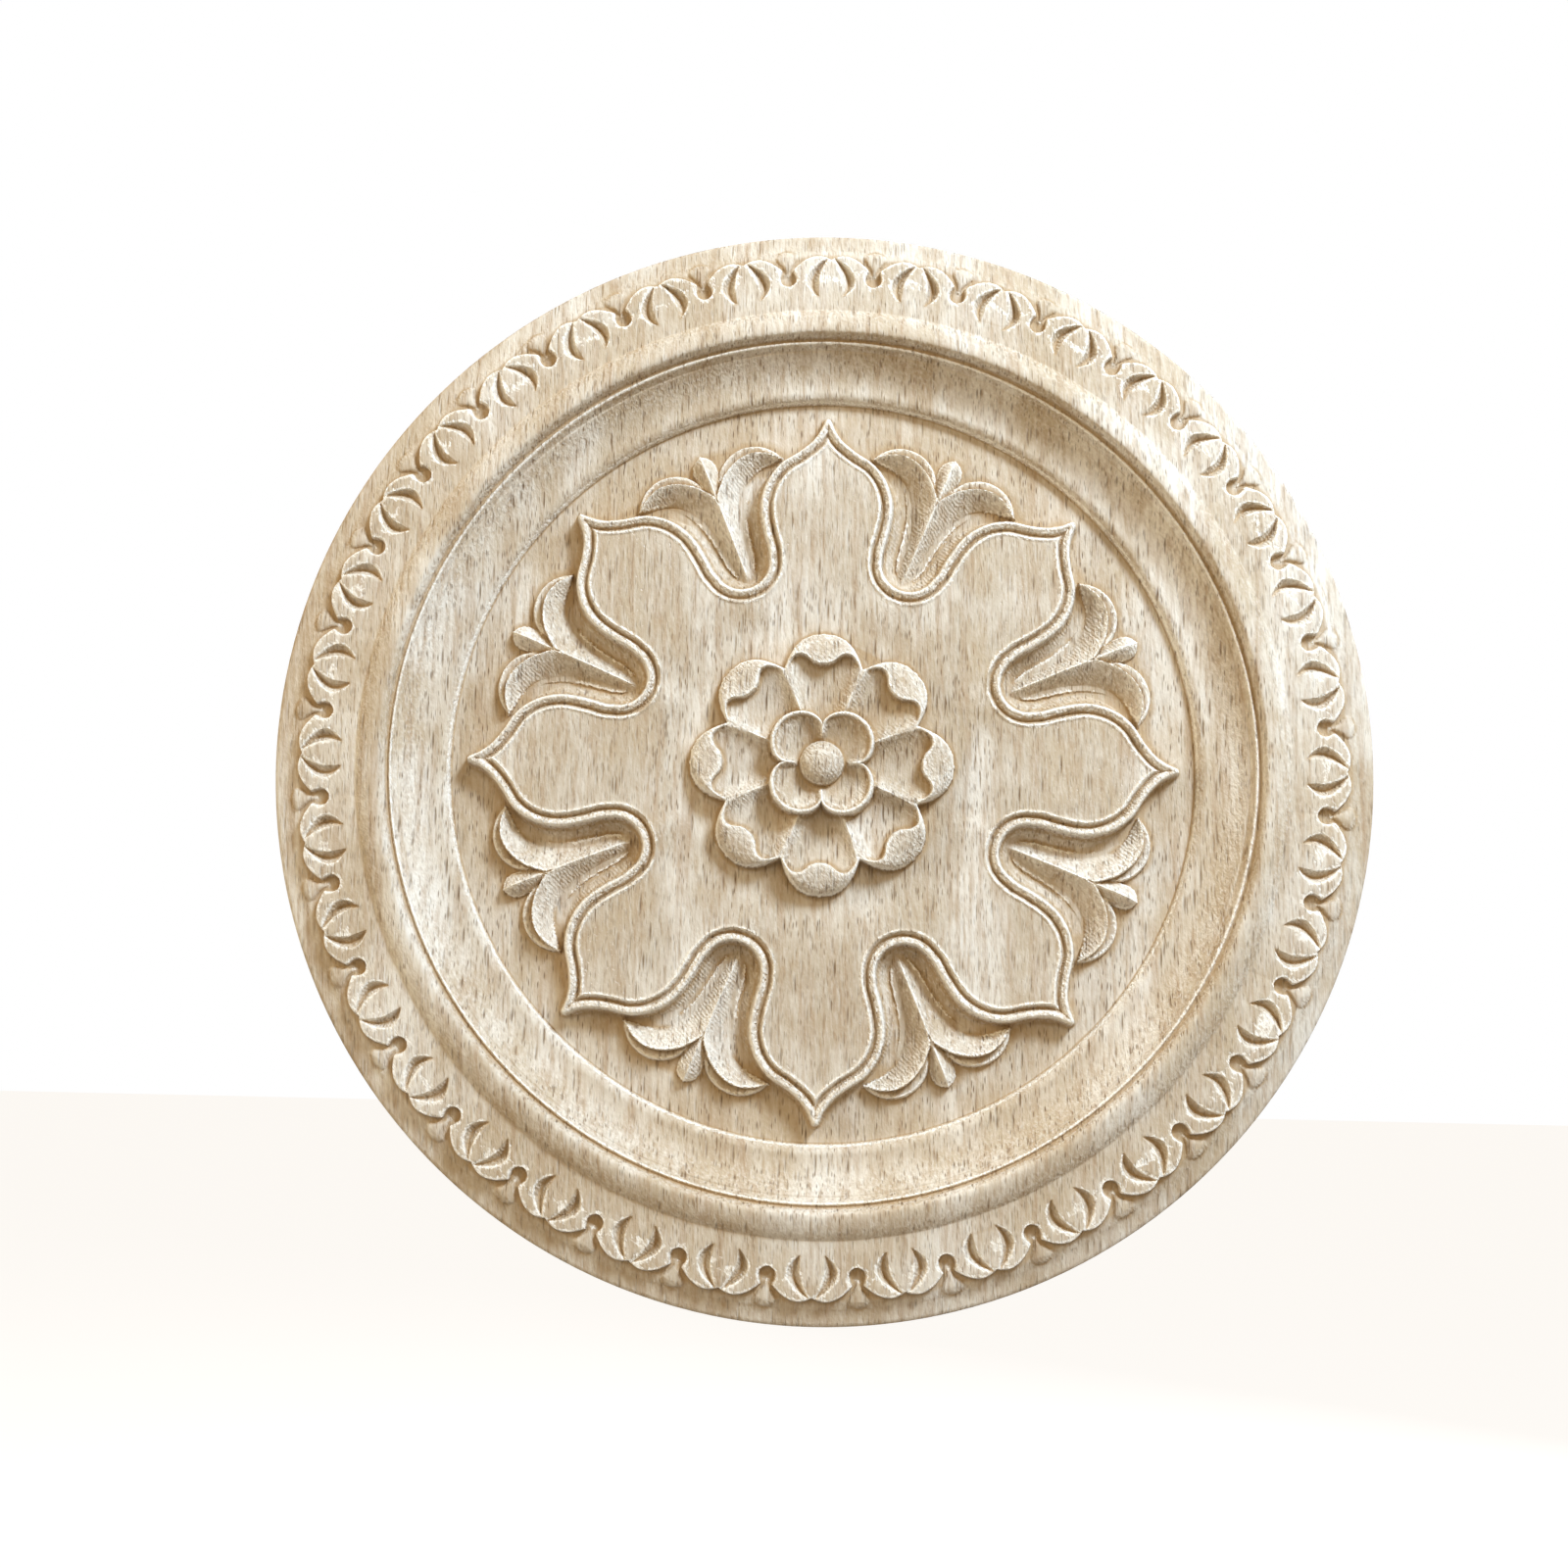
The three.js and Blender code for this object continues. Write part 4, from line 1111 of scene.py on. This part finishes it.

# %% Where the wood is furry or torn, and where highlight and shade are painted
# the distances in millimetres at which a line along an edge or a crease starts and is full
EDGE_LINE, CREASE_LINE = (0.40, 0.10), (0.75, 0.15)
RAGGEDNESS = 1.7
ROUGH_SLOPE, ROUGHNESS_ON_SLOPE = (0.1, 0.7), (0.15, 0.5)
ROUGHNESS_OF_EDGE, ROUGHNESS_OF_PROUD = 0.6, 0.8
# how much shade is painted into hollows and into creases, and the most it may reach
SHADE_IN_HOLLOW, SHADE_IN_CREASE, MOST_SHADE = 0.4, 0.7, 0.8
fluff_swing = maths(tree, "SUBTRACT", fluff, NOISE_MIDDLE)
ragged = maths(tree, "MULTIPLY", fluff_swing, RAGGEDNESS)
ragged_distance = maths(tree, "ADD", attribute("edge_distance"), ragged)
edge = remap(tree, ragged_distance, *EDGE_LINE)
crease = remap(tree, attribute("crease_distance"), *CREASE_LINE)
proud = attribute("proud")
rough = remap(tree, attribute("slope"), *ROUGH_SLOPE, *ROUGHNESS_ON_SLOPE)
for mask, amount in ((edge, ROUGHNESS_OF_EDGE), (proud, ROUGHNESS_OF_PROUD)):
    rough = maths(tree, "ADD", rough, maths(tree, "MULTIPLY", mask, amount), clamp=True)
tufts = maths(tree, "MULTIPLY", fluff_swing, rough)
# painted shade: hollows and creases are darkened in the colour
painted_shade = maths(tree, "MULTIPLY", attribute("hollow"), SHADE_IN_HOLLOW)
painted_shade = maths(tree, "ADD", painted_shade, maths(tree, "MULTIPLY", crease, SHADE_IN_CREASE))
painted_shade = maths(tree, "MINIMUM", painted_shade, MOST_SHADE)
print("masks ready: edge, crease, rough, tufts, dirt")

# %% Tints, from the board's own colour to the pale edges
# metres from the middle: the darker tint towards the middle fades out, and the pores grow paler
MIDDLE_TINT_FADE, PORE_FADE = (0.064, 0.046), (0.080, 0.088)
MIDDLE_TINT_PATCH, MIDDLE_TINT_SHARE = (0.40, 0.60), (0.05, 0.85)
MOST_PORE, LEAST_PORE = 0.75, 0.35
BROAD_STREAK = (0.36, 0.64)
PROUD_SHARE, EDGE_SHARE = 0.25, 0.85
# pattern, value at which the tint starts, value at which it is full, its full share, colour
GRAIN_TINTS = [
    (patches, 0.48, 0.62, 0.9, DEEP_WOOD),
    (patches, 0.48, 0.34, 0.55, COOL_WOOD),
    (grain["Fine"], 0.46, 0.72, 0.7, STREAK_BROWN),
    (fibre, 0.52, 0.72, 0.22, PALE_FIBRE_AND_HIGHLIGHT),
    (fibre, 0.46, 0.30, 0.5, STREAK_BROWN),
]
TUFT_TINTS = [(tufts, 0.0, 0.2, 0.6, PALE_FIBRE_AND_HIGHLIGHT), (tufts, 0.0, -0.2, 0.5, STREAK_BROWN)]


def tinted(body, tints):
    for pattern, start, full, most, colour in tints:
        body = mixed(tree, remap(tree, pattern, start, full, 0.0, most), body, colour)
    return body


from_middle = add_node(tree, "ShaderNodeVectorMath", operation="LENGTH")
tree.links.new(coordinates, from_middle.inputs[0])
from_middle = from_middle.outputs["Value"]
# the wood is tinted darker towards the middle, in patches
central = remap(tree, from_middle, *MIDDLE_TINT_FADE)
central = maths(tree, "MULTIPLY", central, remap(tree, patches, *MIDDLE_TINT_PATCH, *MIDDLE_TINT_SHARE))
body = mixed(tree, remap(tree, grain["Broad"], *BROAD_STREAK), LIGHT_WOOD, DEEP_WOOD)
body = mixed(tree, central, body, DARK_MIDDLE_TINT)
body = tinted(body, GRAIN_TINTS)
# proud forms: paler by raised fibres and by a painted highlight
body = mixed(tree, maths(tree, "MULTIPLY", proud, PROUD_SHARE), body, PALE_FIBRE_AND_HIGHLIGHT)
# the painted shade of hollows and creases is laid on here
body = mixed(tree, painted_shade, body, PAINTED_SHADE_BROWN)
body = tinted(body, TUFT_TINTS)
pore_share = remap(tree, from_middle, *PORE_FADE, MOST_PORE, LEAST_PORE)
for mask in (fine_pores, long_pores):
    body = mixed(tree, maths(tree, "MULTIPLY", mask, pore_share), body, PORE_BROWN)
# along the edges: the white of raised fibres with a painted highlight
body = mixed(tree, maths(tree, "MULTIPLY", edge, EDGE_SHARE), body, PALE_FIBRE_AND_HIGHLIGHT)
tree.links.new(body, shader.inputs["Base Color"])
print("tints laid on", wood.name)

# %% Roughness and fine relief
DULLNESS = (0.3, 0.7, 0.6, 0.8)
RELIEF_DEPTH = 0.00022
GRAIN_BUMP = 0.6
# how much each pattern raises the wood, or lowers it, as a share of the relief's depth
BUMPS = [(long_pores, -0.9), (fine_pores, -0.5), (steps, 0.32), (fibre, 0.7), (tufts, 2.2)]
tree.links.new(remap(tree, grain["Fine"], *DULLNESS), shader.inputs["Roughness"])
surface = maths(tree, "MULTIPLY", grain["Fine"], GRAIN_BUMP)
for pattern, amount in BUMPS:
    surface = maths(tree, "ADD", surface, maths(tree, "MULTIPLY", pattern, amount))
relief = add_node(tree, "ShaderNodeBump", Strength=1.0, Distance=RELIEF_DEPTH)
tree.links.new(surface, relief.inputs["Height"])
tree.links.new(relief.outputs["Normal"], shader.inputs["Normal"])
carving.data.materials.clear()
carving.data.materials.append(wood)
print("wood material on", carving.name)
